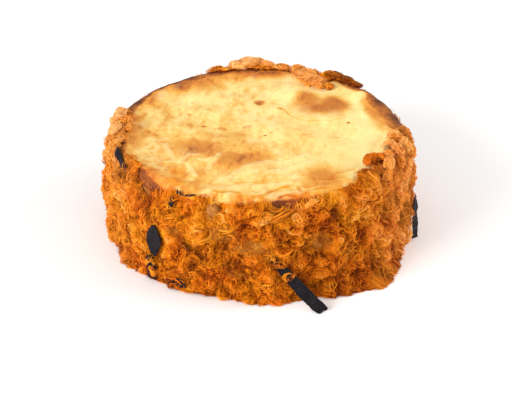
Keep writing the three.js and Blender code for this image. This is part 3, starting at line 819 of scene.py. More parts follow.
# Locks of fibres, tresses and fuzz, with ranges for what varies
LOCK_FIBRES = {
    "name": "floss_locks", "pieces": 5, "locks": 5600, "in_lock": 4, "points": 7, "length": (4.5, 9.5),
    "radius": (0.11, 0.19), "turn": (1.5, 8.0), "lift": (-0.3, 1.4), "buried": 0.7, "spread": 0.42,
    "slip": 1.0, "stray": 0.2, "in_piles": 1, "seed": 17,
}
TRESS_FIBRES = {
    "name": "floss_tresses", "pieces": 2, "locks": 850, "in_lock": 6, "points": 8, "length": (7.0, 13.0),
    "radius": (0.13, 0.21), "turn": (2.0, 6.5), "lift": (0.3, 1.7), "buried": 0.9, "spread": 0.5,
    "slip": 1.6, "stray": 0.16, "in_piles": 0, "seed": 19,
}
FUZZ_FIBRES = {
    "name": "floss_fuzz", "pieces": 1, "locks": 1900, "in_lock": 2, "points": 6, "length": (2.0, 5.0),
    "radius": (0.08, 0.14), "turn": (0.4, 5.0), "lift": (0.2, 1.3), "buried": 0.3, "spread": 1.5,
    "slip": 1.0, "stray": 1.0, "in_piles": 4, "seed": 18,
}

# Tone of the fibres: its middle, how much locks and single fibres vary, and what it gains on lumps, for each
# millimetre of height over a usual one and past the floss's edge, and loses at the foot; then its drifts.
# The gain on lumps and with height is painted highlight, and the loss in the felt's creases and at the foot
# is painted shade.
FIBRE_TONE_AND_PAINTED_LIGHT = {
    "middle": 0.43, "lock": 0.07, "fibre": 0.055, "lumps": 0.2, "height": 0.12, "usual_height": 0.8,
    "past": 0.12, "foot": 0.2,
}
FIBRE_TONE_DRIFTS = [(9.0, 0.24, 41), (4.0, 0.2, 42)]

# Shares of the locks that stand upright at the right side, and that are left out in bare places and among
# the balls
LOCK_SHARES = {"upright": 0.4, "off_bare": 0.93, "off_balls": 0.8}

# Piles of loose floss on the rim, the side and the foot: angle, run, spread, locks, and how high they lie
PILES = [
    (44, 50.5, 5.0, 18, 1.6), (48, 54.5, 3.0, 8, 0.8), (54, 57.5, 2.0, 6, 0.3), (61, 57.5, 3.0, 12, 0.9),
    (66.5, 57.5, 3.0, 14, 0.7), (74, 55.5, 4.0, 16, 0.9), (81, 58, 3.5, 18, 0.7), (88, 54, 3.5, 10, 1.2),
    (73.5, 19, 3.0, 10, 1.6), (46, 1.5, 5.0, 30, 0.6), (5, 1.5, 4.0, 20, 0.4), (-24, 49, 3.0, 5, 0.8),
    (-174, 57, 5.0, 4, 1.0), (74, 8, 3.0, 8, 1.4), (-55.5, 50, 2.0, 8, 0.2), (-42.5, 49, 2.0, 8, 0.2),
    (-48, 43.5, 3.0, 10, 0.2), (12, 50, 2.0, 5, 1.2), (19, 52.5, 2.5, 8, 0.6),
]


def tapered_tubes(path, normal, radius):
    """Closed tubes along many paths at once: each ring of points stands square to its path, the rings thin
    towards both ends, and the ends are single points. Gives points, triangles and places on a map where
    each tube has a cell of its own."""
    count, steps = path.shape[:2]
    along = np.gradient(path, axis=1)
    along /= np.linalg.norm(along, axis=-1, keepdims=True) + 1e-9
    aside = np.cross(along, normal)
    aside /= np.linalg.norm(aside, axis=-1, keepdims=True) + 1e-9
    out = np.cross(along, aside)
    turn = 2 * np.pi * np.arange(FIBRE_SIDES) / FIBRE_SIDES
    thin = (1 - np.abs(np.linspace(-1, 1, steps)) ** 3)[None, :, None, None] * radius[:, None, None, None]
    rings = path[:, :, None] + thin * (
        np.cos(turn)[:, None] * aside[:, :, None] + np.sin(turn)[:, None] * out[:, :, None])
    body = rings[:, 1:-1].reshape(count, -1, 3)
    points = np.concatenate([path[:, :1], body, path[:, -1:]], axis=1)

    per_tube = points.shape[1]
    triangles, places = [], []
    for row in range(steps - 1):
        low, high = 1 + (row - 1) * FIBRE_SIDES, 1 + row * FIBRE_SIDES
        for k in range(FIBRE_SIDES):
            beside = (k + 1) % FIBRE_SIDES
            left, right = k / FIBRE_SIDES, (k + 1) / FIBRE_SIDES
            if row == 0:
                triangles.append((0, high + beside, high + k))
                places.append(((0, left), (1, right), (1, left)))
            elif row == steps - 2:
                triangles.append((per_tube - 1, low + k, low + beside))
                places.append(((steps - 1, left), (row, left), (row, right)))
            else:
                triangles += [(low + k, low + beside, high + beside), (low + k, high + beside, high + k)]
                places.append(((row, left), (row, right), (row + 1, right)))
                places.append(((row, left), (row + 1, right), (row + 1, left)))
    faces = np.array(triangles)[None] + per_tube * np.arange(count)[:, None, None]
    cells = int(np.ceil(np.sqrt(count)))
    cell = np.stack(np.divmod(np.arange(count), cells), axis=-1)[:, None, None]
    local = np.array(places) / (steps - 1, 1) * FIBRE_CELL_SHARE + (1 - FIBRE_CELL_SHARE) / 2
    return points, faces.reshape(-1, 3), ((cell + local) / cells).reshape(-1, 2)


def strip_cover(angle, run, chance):
    """Which fibres keep off the seaweed or may lie over it, and the depth that they need to clear it."""
    kept = np.ones(len(angle), bool)
    least = np.full(angle.shape, -1.0)
    for leaf in NORI.values():
        along, aside, apart = on_strip(leaf, angle, run)
        stand = leaf["lean"] + leaf["flare"] * np.clip(aside / leaf["width"] + 0.5, 0, 1)
        stand = stand * np.clip(along / leaf["length"] + 0.5, 0, 1) ** leaf["bend"]
        over = (apart < STRIP_COVER["margin"]) & (stand < STRIP_COVER["stand"])
        kept &= ~(over & (chance > np.where(along < 0, *leaf["veil"]))).any(axis=1)
        least = np.where(over, leaf["bed"] + CLEARANCE + STRIP_COVER["clear"] + stand, least)
    return kept, least


def floss_locks(kind, rng):
    """Where locks of one kind lie and how they run: spread evenly over the felt apart from those in the
    piles, with more upright ones at the right side, and few in bare places and among the balls at the back.
    Gives their values, repeated for each fibre."""
    locks = kind["locks"]
    k = np.arange(locks)
    angle = 360 * (k * SPREAD_STEPS["angle"] % 1) + rng.normal(0, 0.6, locks)
    run = (k * SPREAD_STEPS["run"] % 1) * (coat_reach(angle) + 0.3)
    piled = np.zeros(locks)
    for middle, middle_run, spread, count, height in PILES:
        count = count * kind["in_piles"]
        chosen = rng.choice(locks, count, replace=False)
        angle[chosen] = middle + np.degrees(rng.normal(0, spread, count) / CAKE_RADIUS)
        run[chosen] = np.abs(middle_run + rng.normal(0, spread / 2, count))
        piled[chosen] = height * rng.uniform(0, 1, count)
    heading = rng.uniform(0, 2 * np.pi, locks)
    beside = smooth(np.sin(np.radians(angle)), 0.75, 0.95) * (1 - smooth(run, 42, 50))
    upright = rng.random(locks) < LOCK_SHARES["upright"] * beside
    heading = np.where(upright, np.pi / 2 + rng.normal(0, 0.6, locks), heading)
    tone = FIBRE_TONE_AND_PAINTED_LIGHT["middle"] + layered(outside(angle, run, COAT_THICKNESS), FIBRE_TONE_DRIFTS)
    lock = {
        "angle": angle, "run": run, "piled": piled, "heading": heading,
        "tone": tone + rng.normal(0, FIBRE_TONE_AND_PAINTED_LIGHT["lock"], locks) + tone_and_painted_light(angle, run),
        "length": rng.uniform(*kind["length"], locks),
        "turn": rng.choice([-1, 1], locks) * rng.uniform(*kind["turn"], locks),
        "waver": rng.uniform(0, 0.7, locks), "phase": rng.uniform(0, 2 * np.pi, locks),
        "lift": rng.uniform(*kind["lift"], locks), "chance": rng.random(locks),
    }
    balled = smooth(-np.cos(np.radians(angle)), 0.6, 0.75) * smooth(run, 53, 57)
    thinned = np.maximum(LOCK_SHARES["off_bare"] * bareness(angle, run), LOCK_SHARES["off_balls"] * balled)
    dense = rng.random(locks) > thinned
    return {key: np.repeat(value[dense], kind["in_lock"])[:, None] for key, value in lock.items()}


def floss_fibres(kind):
    """Paths of one kind of fibre, with their normals, thickness and tone. A lock's heading turns along it
    and wavers, its fibres follow that heading side by side, each from a start of its own, and it arches out
    of the felt between ends that are buried in it."""
    rng = np.random.default_rng(kind["seed"])
    lock = floss_locks(kind, rng)
    count, steps = len(lock["angle"]), kind["points"]
    length = lock["length"] * rng.uniform(*FIBRE_LIE["length"], (count, 1))
    slip = rng.normal(0, kind["slip"], (count, 1)) / lock["length"]
    share = np.linspace(-0.5, 0.5, steps) * length / lock["length"] + slip
    wave = np.sin(FIBRE_LIE["waves"] * share + lock["phase"])
    heading = lock["heading"] + lock["turn"] * share + lock["waver"] * wave
    heading = heading + rng.normal(0, kind["stray"], (count, 1))
    middle = heading.mean(axis=1, keepdims=True)
    aside = rng.normal(0, kind["spread"], (count, 1))
    walk = np.cumsum(np.stack([np.cos(heading), np.sin(heading)]) * length / (steps - 1), axis=2)
    walk = walk - walk.mean(axis=2, keepdims=True)
    across = walk[0] + slip * lock["length"] * np.cos(middle) - aside * np.sin(middle)
    up = walk[1] + slip * lock["length"] * np.sin(middle) + aside * np.cos(middle)
    angle = lock["angle"] + np.degrees(across / CAKE_RADIUS)
    run = np.abs(lock["run"] + up - 0.4) + 0.4

    felt_depth, lumps, _ = felt_surface(angle, run)
    past = smooth(run - coat_reach(angle), -1, 2.5)
    arch = np.maximum(0, 1 - (2 * np.clip(share, -0.5, 0.5)) ** 2)
    height = rng.normal(*FIBRE_LIE["height"], (count, 1)) + lock["piled"]
    height = height + lock["lift"] * arch * (1 - FIBRE_LIE["flatter_on_rim"] * smooth(run, 50, 57))
    height = height - kind["buried"] * np.abs(np.linspace(-1, 1, steps)) ** 4
    depth = felt_depth * (1 - past) - 0.2 * past + height
    kept, least = strip_cover(angle, run, lock["chance"])
    depth = np.maximum(depth, np.maximum(least, 0.15 - 0.3 * past))

    path = outside(angle, run, depth)
    path[..., 2] = np.maximum(path[..., 2], FIBRE_LEAST_HEIGHT)
    _, _, slope = outline(run)
    normal = turned(angle, np.cos(slope), np.sin(slope))
    thickness = rng.uniform(*kind["radius"], count)
    # Painted highlight on lumps and on fibres that stand high, painted shade in the creases and at the foot
    tone = lock["tone"][:, 0] + FIBRE_TONE_AND_PAINTED_LIGHT["lumps"] * lumps.mean(axis=1)
    tone = tone + FIBRE_TONE_AND_PAINTED_LIGHT["height"] * (height.max(axis=1) - FIBRE_TONE_AND_PAINTED_LIGHT["usual_height"])
    tone = tone + rng.normal(0, FIBRE_TONE_AND_PAINTED_LIGHT["fibre"], count) + FIBRE_TONE_AND_PAINTED_LIGHT["past"] * past.max(axis=1)
    tone = tone - FIBRE_TONE_AND_PAINTED_LIGHT["foot"] * (1 - smooth(run.mean(axis=1), 0, 10))
    return path[kept], normal[kept], thickness[kept], np.clip(tone[kept], 0, 1)


fibre_material, tree, shader = new_material("floss fibre", Roughness=0.6, Specular_IOR_Level=0.12)
tree.links.new(floss_colour(tree, attribute(tree, "tone")), shader.inputs["Base Color"])


def fibre_piece(name, path, normal, thickness, tone, dry_and_sheen):
    """Makes one piece of many fibres, which hold a tone and a paleness from dryness and painted sheen each
    and have a map of their own.
    """
    points, faces, places = tapered_tubes(path, normal, thickness)
    piece = build(
        name, points.reshape(-1, 3), [faces], fibre_material,
        {"tone": np.repeat(tone, points.shape[1]), "dry_and_sheen": np.repeat(dry_and_sheen, points.shape[1])})
    layer = piece.data.uv_layers.new(name="OFBake")
    layer.data.foreach_set("uv", places.astype(np.float32).ravel())
    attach(piece, "root")


for kind in (LOCK_FIBRES, TRESS_FIBRES, FUZZ_FIBRES):
    path, normal, thickness, tone = floss_fibres(kind)
    sector = np.floor((np.degrees(np.arctan2(path[:, 0, 0], -path[:, 0, 1])) % 360) / 360 * kind["pieces"])
    for part in range(kind["pieces"]):
        chosen = sector == part
        fibre_piece(
            f"{kind['name']}_{part + 1}", path[chosen], normal[chosen], thickness[chosen], tone[chosen],
            dryness_and_sheen(path[chosen].mean(axis=1)))

# The curled shred: one thick strip of the dried meat that has not been teased apart. It lies on the rim at
# the right, with its hollow side to the front.
CURL_ANGLE = 55.5
CURL_RADIUS = 71.3
CURL_FACING = 32.0
CURL_BEND = 4.3
CURL_SWEEP = 205.0
CURL_THICKNESS = 4.3
CURL_STEPS, CURL_SIDES = 56, 30
CURL_FIBRES = {"count": 170, "points": 6, "radius": (0.12, 0.2), "stand": 0.35, "tone": 0.42, "seed": 29}


def on_curl(share, side, off):
    """Points of the shred at a share of its length and a turn round it, some way off its surface: a round
    strip with grooves, thinner towards its ends and bent into a level arc."""
    grooves = 1 + 0.08 * np.sin(6 * side + 3 * np.sin(9 * share)) + 0.06 * np.sin(31 * share + 2 * side)
    thick = CURL_THICKNESS / 2 * np.sqrt(1 - (2 * share - 1) ** 4) * grooves + off
    bend = CURL_BEND + thick * np.cos(side)
    middle = turned(CURL_ANGLE, CURL_RADIUS, RIM_HEIGHT + CLEARANCE + CURL_THICKNESS / 2)
    return middle + turned(CURL_FACING + 180 + CURL_SWEEP * (share - 0.5), bend, thick * np.sin(side))


curl_share, curl_side = np.meshgrid(
    np.linspace(0.004, 0.996, CURL_STEPS), 2 * np.pi * np.arange(CURL_SIDES) / CURL_SIDES, indexing="ij")
points = on_curl(curl_share, curl_side, 0.0)
ends = np.stack([points[0].mean(axis=0), points[-1].mean(axis=0)])
curl_faces = [grid_faces(CURL_STEPS, CURL_SIDES)[:, ::-1], end_fans(CURL_STEPS, CURL_SIDES)[:, ::-1]]

shred_material = mottled_material(
    "dried meat shred", 4.0, [(0.45, "A64400"), (0.75, "D86A04"), (1.0, "F29228")], 0.5, grain=0.5,
    Roughness=0.55, Specular_IOR_Level=0.14)
curl = build("floss_shred", np.concatenate([points.reshape(-1, 3), ends]), curl_faces, shred_material)
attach(curl, "root")
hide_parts("floss_curl")

rng = np.random.default_rng(CURL_FIBRES["seed"])
count = CURL_FIBRES["count"]
along = np.linspace(-1, 1, CURL_FIBRES["points"])
share = rng.uniform(0.08, 0.92, (count, 1)) + along * rng.uniform(0.06, 0.18, (count, 1))
share = np.clip(share, 0.01, 0.99)
side = rng.uniform(0, 2 * np.pi, (count, 1)) + along * rng.normal(0, 0.3, (count, 1))
off = CURL_FIBRES["stand"] * (rng.random((count, 1)) - along ** 4)
path = on_curl(share, side, off)
thickness = rng.uniform(*CURL_FIBRES["radius"], count)
# Fibres on the shred's upper side are painted brighter and those underneath darker: painted highlight and
# shade
tone = CURL_FIBRES["tone"] + 0.1 * np.sin(side[:, 0]) + rng.normal(0, 0.1, count)
fibre_piece(
    "floss_shred_fibres", path, path - on_curl(share, side, off - 1.0), thickness, np.clip(tone, 0, 1),
    np.zeros(count))

# Loose bits: balls of matted floss on the rim at the back and both sides and round the curled shred, a thick
# shred, a crumb of crust and a smear of melted cheese at the front, and a scrap of herb at the right. They
# are stuck in the floss.
BIT_ROWS, BIT_COLUMNS = 20, 28
BALL_ROUGHNESS = 0.14
STRAP_ROUGHNESS = 0.12
CRUMB_ROUGHNESS = 0.14
SMEAR_ROUGHNESS = 0.3
SCRAP_ROUGHNESS = 0.15

# Balls of floss: angle, run and depth of the middle, half sizes along the cake, up it and out of it, tone
# and how dry they are, which is partly painted sheen
BALLS = [
    (158.5, 63.8, 1.2, (5.2, 5.4, 3.0), 0.84, 0.4), (150.5, 66.2, 0.8, (4.2, 4.2, 2.4), 0.82, 0.38),
    (154.5, 68.6, 0.4, (2.6, 2.2, 1.7), 0.74, 0.3), (147.5, 68.4, 0.4, (2.4, 2.2, 1.6), 0.7, 0.25),
    (162.5, 60, 1.0, (3.0, 2.6, 2.0), 0.62, 0.3), (143.0, 67.4, 0.4, (2.3, 2.1, 1.6), 0.42, 0.05),
    (-171.5, 56.5, 1.6, (5.6, 3.4, 2.5), 0.8, 0.66), (-176, 56.8, 2.6, (4.8, 3.8, 3.0), 0.9, 0.72),
    (177, 56.5, 1.6, (4.2, 3.0, 2.0), 0.8, 0.55), (170, 58, 0.6, (4.4, 3.0, 1.6), 0.68, 0.4),
    # The low tones of the balls at 146, 140 and 135 degrees are partly painted shade on that clump's front
    # side
    (-162, 55, 1.0, (4.4, 2.8, 1.6), 0.42, 0.6), (146, 57.5, 1.2, (4.4, 3.2, 2.0), 0.24, 0.14),
    (140, 57, 0.8, (4.6, 3.0, 1.8), 0.12, 0.14), (135, 57, 0.3, (4.0, 2.6, 1.4), 0.08, 0.1),
    (56.5, 60.0, 0.6, (2.6, 2.4, 1.8), 0.1, 0.0), (79.5, 59.7, 1.6, (2.6, 3.4, 2.2), 0.9, 0.32),
    (72.3, 60.4, 1.0, (2.6, 2.6, 1.8), 0.82, 0.3), (75.0, 55.6, 3.0, (3.2, 3.4, 2.6), 0.92, 0.3),
    (58.0, 56.2, 2.4, (3.6, 2.6, 2.4), 0.84, 0.2), (84.5, 56.6, 2.4, (2.2, 2.8, 2.0), 0.56, 0.3),
    (76.0, 58.8, 2.0, (2.2, 2.6, 2.0), 0.5, 0.2), (68.5, 56.8, 2.6, (2.8, 3.2, 2.2), 0.78, 0.25),
    (79.5, 52.0, 3.6, (2.6, 3.0, 2.2), 0.7, 0.3), (63.0, 58.4, 1.8, (2.4, 2.2, 1.8), 0.74, 0.25),
    (55.0, 53.6, 2.6, (2.6, 2.2, 2.0), 0.7, 0.1), (65.0, 54.0, 3.2, (2.2, 2.8, 2.0), 0.6, 0.2),
    (-101.0, 57.2, 1.5, (3.2, 3.2, 2.4), 0.86, 0.5), (-93.0, 60.6, 1.4, (2.8, 2.6, 1.8), 0.7, 0.15),
    (-95.0, 57.0, 2.2, (3.8, 3.0, 2.2), 0.86, 0.55), (-88.0, 57.0, 1.8, (3.4, 3.2, 2.0), 0.86, 0.6),
    (-88.5, 62.2, 0.8, (2.4, 1.5, 1.4), 0.74, 0.25),
]
# The fibres' tone is raised on a pebble's lobes as painted highlight and lowered in its creases as painted
# shade
WOUND_FIBRES = {
    "each": 130, "points": 6, "sweep": (0.3, 0.9), "radius": (0.13, 0.22), "off": 0.02, "stand": 0.36,
    "ends_drop": 0.14, "painted_lobe_light": 0.12, "tone_spread": 0.2, "seed": 23,
}
STRAP_TONE = 0.4
STRAP_DRYNESS_AND_SHEEN = 0.05

# Places of the other bits: angle, run and depth of the middle, half sizes, turn on the surface and bow
STRAP_PLACE = (7.8, 49.8, 2.6, (6.0, 1.7, 1.2), 29, -0.8)
CRUMB_PLACE = (-16.5, 50.5, 1.8, (3.4, 4.0, 1.9), 10, 0.0)
SMEAR_PLACE = (19.6, 53.2, 0.8, (3.4, 1.7, 1.3), 16, 0.5)
SCRAP_PLACE = (67.4, 60.6, 2.2, (2.1, 1.8, 1.3), 20, 0.0)


def lumpiness(direction, seed, rough):
    """Distance of a pebble's surface from its middle in each direction as a share of its size, and how
    raised it is there from -1 to 2: lobes with a finer drift on them."""
    spot = direction + (7.0 * seed, 0, 0)
    raised = lobes(spot, 0.8, 71, 0.3, 0.9, 73)
    return 1 + rough * (raised + 0.3 * drift(spot, 0.3, 72)), raised


def on_pebble(place, local):
    """Points of a pebble from its own measures along the cake, up it and out of it: set out from its middle
    in the plane that touches the cake's outline there, turned in it and bowed upwards."""
    angle, run, depth, halves, turn, bow = place
    c, s = np.cos(np.radians(turn)), np.sin(np.radians(turn))
    sideways = local[..., 1] + bow * (1 - (local[..., 0] / halves[0]) ** 2)
    across, up = local[..., 0] * c - sideways * s, local[..., 0] * s + sideways * c
    _, _, slope = outline(run)
    level = turned(angle + 90, 1.0, 0.0)
    rising = turned(angle, -np.sin(slope), np.cos(slope))
    outwards = turned(angle, np.cos(slope), np.sin(slope))
    flat = across[..., None] * level + up[..., None] * rising
    return outside(angle, run, depth) + flat + local[..., 2:] * outwards


def pebbles(name, material, places, values, rough):
    """A piece of lumpy pebbles, one for each place: balls stretched to their half sizes."""
    polar, around = np.meshgrid(
        np.linspace(0.03, np.pi - 0.03, BIT_ROWS), 2 * np.pi * np.arange(BIT_COLUMNS) / BIT_COLUMNS,
        indexing="ij")
    level = np.sin(polar)
    ball = np.stack([level * np.cos(around), level * np.sin(around), np.cos(polar)], axis=-1)
    quads = grid_faces(BIT_ROWS, BIT_COLUMNS)[:, ::-1]
    fans = end_fans(BIT_ROWS, BIT_COLUMNS)[:, ::-1]
    all_points, all_raised = [], []
    for seed, place in enumerate(places):
        size, raised = lumpiness(ball, seed, rough)
        shape = ball * size[..., None]
        shape = np.concatenate([shape.reshape(-1, 3), [shape[0].mean(axis=0), shape[-1].mean(axis=0)]])
        all_points.append(on_pebble(place, shape * place[3]))
        all_raised.append(with_poles(raised))
    per_pebble = len(all_points[0])
    bases = per_pebble * np.arange(len(places))[:, None, None]
    piece = build(
        name, np.concatenate(all_points), [(quads + bases).reshape(-1, 4), (fans + bases).reshape(-1, 3)],
        material, {key: np.repeat(value, per_pebble) for key, value in values.items()}
        | {"raised": np.concatenate(all_raised)})
    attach(piece, "root")
    return piece


def wound_fibres(name, places, tones, dry_and_sheen, rough, lengthwise):
    """A piece of fibres wound round pebbles: each is an arc over its pebble's surface, at random or along
    its length."""
    rng = np.random.default_rng(WOUND_FIBRES["seed"])
    each, steps = WOUND_FIBRES["each"], WOUND_FIBRES["points"]
    along = np.linspace(-1, 1, steps)
    paths, normals, fibre_tones = [], [], []
    for seed, (place, tone) in enumerate(zip(places, tones)):
        start = rng.normal(size=(each, 3)) * (1 - 0.7 * lengthwise, 1, 1)
        start[:, 2] = np.abs(start[:, 2])
        start /= np.linalg.norm(start, axis=-1, keepdims=True)
        ahead = rng.normal(size=(each, 3)) + (6.0 * lengthwise, 0, 0)
        ahead -= start * (ahead * start).sum(axis=-1, keepdims=True)
        ahead /= np.linalg.norm(ahead, axis=-1, keepdims=True)
        sweep = (along * rng.uniform(*WOUND_FIBRES["sweep"], (each, 1)))[..., None]
        direction = np.cos(sweep) * start[:, None] + np.sin(sweep) * ahead[:, None]
        size, raised = lumpiness(direction, seed, rough)
        size = size + WOUND_FIBRES["off"] + WOUND_FIBRES["stand"] * rng.random((each, 1)) ** 2
        size = size - WOUND_FIBRES["ends_drop"] * along ** 4
        path = on_pebble(place, direction * size[..., None] * place[3])
        paths.append(path)
        normals.append(path - on_pebble(place, np.zeros(3)))
        # Painted highlight on raised lobes, painted shade in the creases between them
        painted_lobe_light = tone + WOUND_FIBRES["painted_lobe_light"] * raised.mean(axis=1)
        fibre_tones.append(painted_lobe_light + rng.normal(0, WOUND_FIBRES["tone_spread"], each))
    thickness = rng.uniform(*WOUND_FIBRES["radius"], each * len(places))
    fibre_piece(
        name, np.concatenate(paths), np.concatenate(normals), thickness,
        np.clip(np.concatenate(fibre_tones), 0, 1), np.repeat(dry_and_sheen, each))


lump_material, tree, shader = new_material("floss lump", Roughness=0.75, Specular_IOR_Level=0.1)
patchy = mottling(tree, 3.5)
lump_level = number(tree, "MULTIPLY_ADD", patchy["Clouds"], 0.5, attribute(tree, "tone"))
lump_level = number(tree, "MULTIPLY_ADD", patchy["Grain"], 0.3, lump_level)
# Painted highlight on the raised lobes and painted shade in the creases between them
lump_level = number(tree, "MULTIPLY_ADD", attribute(tree, "raised"), 0.16, lump_level)
lump_colour = floss_colour(tree, number(tree, "SUBTRACT", lump_level, 0.58))
tree.links.new(lump_colour, shader.inputs["Base Color"])
bump(tree, shader, patchy["Grain"], 0.6)

crumb_material = mottled_material(
    "crust crumb", 3.0, [(0.3, "7C4414"), (0.5, "A26228"), (0.7, "BA7A3C")], 0.5,
    Roughness=0.85, Specular_IOR_Level=0.1)
herb_material = mottled_material(
    "herb scrap", 2.0, [(0.3, "8A6234"), (0.6, "CC9C60")], 0.3, Roughness=0.6, Specular_IOR_Level=0.2)

ball_places = [(*place, 0.0, 0.0) for *place, _, _ in BALLS]
ball_tones = [tone for *_, tone, _ in BALLS]
ball_dry_and_sheen = [dry_and_sheen for *_, dry_and_sheen in BALLS]
ball_values = {"tone": ball_tones, "dry_and_sheen": ball_dry_and_sheen}
balls = pebbles("floss_balls", lump_material, ball_places, ball_values, BALL_ROUGHNESS)
wound_fibres("floss_ball_fibres", ball_places, ball_tones, ball_dry_and_sheen, BALL_ROUGHNESS, 0.0)
strap = pebbles("floss_strap", shred_material, [STRAP_PLACE], {}, STRAP_ROUGHNESS)
wound_fibres("floss_strap_fibres", [STRAP_PLACE], [STRAP_TONE], [STRAP_DRYNESS_AND_SHEEN], STRAP_ROUGHNESS, 1.0)
crumb = pebbles("crust_crumb", crumb_material, [CRUMB_PLACE], {}, CRUMB_ROUGHNESS)
smear_values = {"brown": [0.5], "stained": [0.5], "folded": [0.0], "pale": [0.0]}
smear = pebbles("cheese_smear", cheese_material, [SMEAR_PLACE], smear_values, SMEAR_ROUGHNESS)
scrap = pebbles("herb_scrap", herb_material, [SCRAP_PLACE], {}, SCRAP_ROUGHNESS)

# The seaweed: thin sheets of roasted laver cut into strips and pressed into the floss. They are brittle,
# crinkled and nearly black, with ragged ends.
NORI_THICKNESS = 0.45
NORI_WAVE = {"height": 0.5, "along": 9.0, "aside": 12.5}
NORI_ROWS, NORI_COLUMNS = 56, 15
NORI_TORN_EDGE = [(2.4, 0.5, 51), (0.9, 0.25, 52)]  # size, depth and seed of its drifts
NORI_TORN_END = (1.5, 1.2, 53)
NORI_CRINKLES = [(2.2, 0.35, 54), (0.9, 0.2, 55)]

seaweed, tree, shader = new_material("roasted seaweed", Specular_IOR_Level=0.14)
patchy = mottling(tree, 6.0)
leaf_colour = ramp(tree, patchy["Grain"], (0.35, "080507"), (0.52, "130D12"), (0.7, "2A2027"))
leaf_roughness = number(tree, "MULTIPLY_ADD", patchy["Clouds"], 0.4, 0.35)
tree.links.new(leaf_colour, shader.inputs["Base Color"])
tree.links.new(leaf_roughness, shader.inputs["Roughness"])
bump(tree, shader, patchy["Grain"], 0.6)


def leaf_strip(leaf, seed):
    """A thin leaf on its bed of floss: places along and across the strip, with a ragged outline, carried to
    the cake's outline at the bed's height plus a slow ripple, fine crinkles and the lean of its lower end.
    What is past the cake's foot lies on along the floor.
    The back face is the front one set in by the thickness, and a rim joins them."""
    length, width, tilt = leaf["length"], leaf["width"], np.radians(leaf["tilt"])
    share, cross = np.meshgrid(
        np.linspace(-0.5, 0.5, NORI_ROWS), np.linspace(-0.5, 0.5, NORI_COLUMNS), indexing="ij")
    place = np.stack([share * length, cross * width, np.full_like(share, 40.0 * seed)], axis=-1)
    torn = layered(place * (1, 3, 1), NORI_TORN_EDGE) * min(1.0, width / 2.5)
    along = share * (length + layered(place * (3, 1, 1), [NORI_TORN_END]))
    narrowed = 1 - np.where(share < 0, *leaf["narrow"]) * np.abs(2 * share) ** 1.5
    aside = cross * (width * narrowed + torn) + leaf["bow"] * (1 - (2 * share) ** 2)
    ripple = 2 * np.pi * (along / NORI_WAVE["along"] + aside / NORI_WAVE["aside"])
    crinkle = layered(place, NORI_CRINKLES)
    stand = (share + 0.5) ** leaf["bend"] * (leaf["lean"] + leaf["flare"] * (cross + 0.5))
    across = aside * np.cos(tilt) - along * np.sin(tilt)
    run = leaf["run"] - along * np.cos(tilt) - aside * np.sin(tilt)
    depth = leaf["bed"] + CLEARANCE + NORI_WAVE["height"] * (1 - np.cos(ripple)) / 2 + crinkle + stand
    depth = depth + np.maximum(0, -run)
    at_angle = leaf["angle"] + np.degrees(across / CAKE_RADIUS)
    sides = []
    for thickness in (0.0, NORI_THICKNESS):
        points = outside(at_angle, np.maximum(0, run), depth + thickness)
        points[..., 2] = np.maximum(points[..., 2], 0.2 + 0.3 * crinkle.clip(0) + thickness)
        sides.append(points.reshape(-1, 3))
    index = np.arange(NORI_ROWS * NORI_COLUMNS).reshape(NORI_ROWS, NORI_COLUMNS)
    back = np.stack([index[:-1, :-1], index[:-1, 1:], index[1:, 1:], index[1:, :-1]], axis=-1)
    back = back.reshape(-1, 4)
    front = back[:, ::-1] + index.size
    edge = np.concatenate([index[:-1, 0], index[-1, :-1], index[:0:-1, -1], index[0, :0:-1]])
    beyond = np.roll(edge, -1)
    rim = np.stack([edge, beyond, beyond + index.size, edge + index.size], axis=-1)
    return np.concatenate(sides), [back, front, rim]


for seed, (name, leaf) in enumerate(NORI.items()):
    points, faces = leaf_strip(leaf, seed)
    piece = build(name.replace("nori", "seaweed"), points, faces, seaweed)
    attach(piece, "root")
    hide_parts(name)

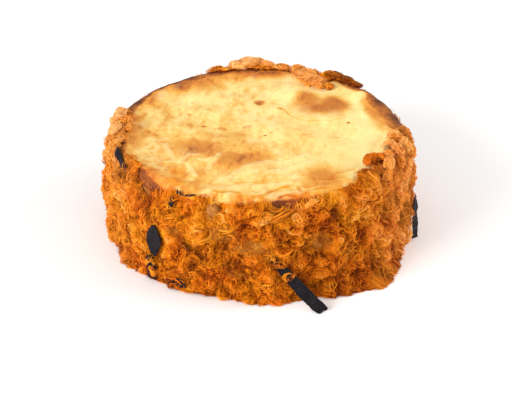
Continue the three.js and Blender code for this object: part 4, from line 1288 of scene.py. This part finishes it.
# The studio: a pale table top under soft white light from all round, with a large lamp at the upper left and
# another at the right. The camera stands in front of the cake and looks down on it.
CAMERA_PLACE = (0.0, -877.1, 510.2)
CAMERA_AIM = (-1.8, 0.0, 14.1)
CAMERA_LENS = 132.0
CAMERA_SENSOR = 36.0
LAMP_AIM = (0.0, 0.0, 30.0)
FLOOR_HALF_WIDTH = 6000.0
KEY_LAMP = {"place": (-800, -650, 450), "size": 700, "power": 13.0}
FILL_LAMP = {"place": (950, 50, 350), "size": 800, "power": 8.5}
WORLD_STRENGTH = 0.66

table, tree, shader = new_material("pale table", Roughness=0.7, Specular_IOR_Level=0.2)
table_colour = ramp(tree, mottling(tree, 300.0)["Clouds"], (0.3, "FCFBFA"), (0.7, "FDFDFC"))
tree.links.new(table_colour, shader.inputs["Base Color"])
floor_corners = FLOOR_HALF_WIDTH * np.array([[-1, -1, 0], [1, -1, 0], [1, 1, 0], [-1, 1, 0]])
floor = build("floor", floor_corners, [np.array([[0, 1, 2, 3]])], table)


def face_towards(thing, place, target):
    """Stands a camera or lamp at a place, looking at a target."""
    thing.location = Vector(place) * MM
    thing.rotation_euler = (Vector(target) - Vector(place)).to_track_quat("-Z", "Y").to_euler()


def lamp(name, place, size, power):
    """A square area lamp at a place in millimetres that faces the cake."""
    light = bpy.data.lights.new(name, "AREA")
    light.size = size * MM
    light.energy = power
    holder = bpy.data.objects.new(name, light)
    bpy.context.scene.collection.objects.link(holder)
    face_towards(holder, place, LAMP_AIM)


lamp("key", **KEY_LAMP)
lamp("fill", **FILL_LAMP)

world = bpy.data.worlds.new("studio")
world.use_nodes = True
background = world.node_tree.nodes["Background"].inputs
background["Color"].default_value = colour("FFFFFF")
background["Strength"].default_value = WORLD_STRENGTH
bpy.context.scene.world = world
bpy.context.scene.view_settings.view_transform = "Standard"

camera = bpy.data.objects.new("camera", bpy.data.cameras.new("camera"))
camera.data.lens = CAMERA_LENS
camera.data.sensor_width = CAMERA_SENSOR
camera.data.clip_end = 100.0
bpy.context.scene.collection.objects.link(camera)
face_towards(camera, CAMERA_PLACE, CAMERA_AIM)
bpy.context.scene.camera = camera
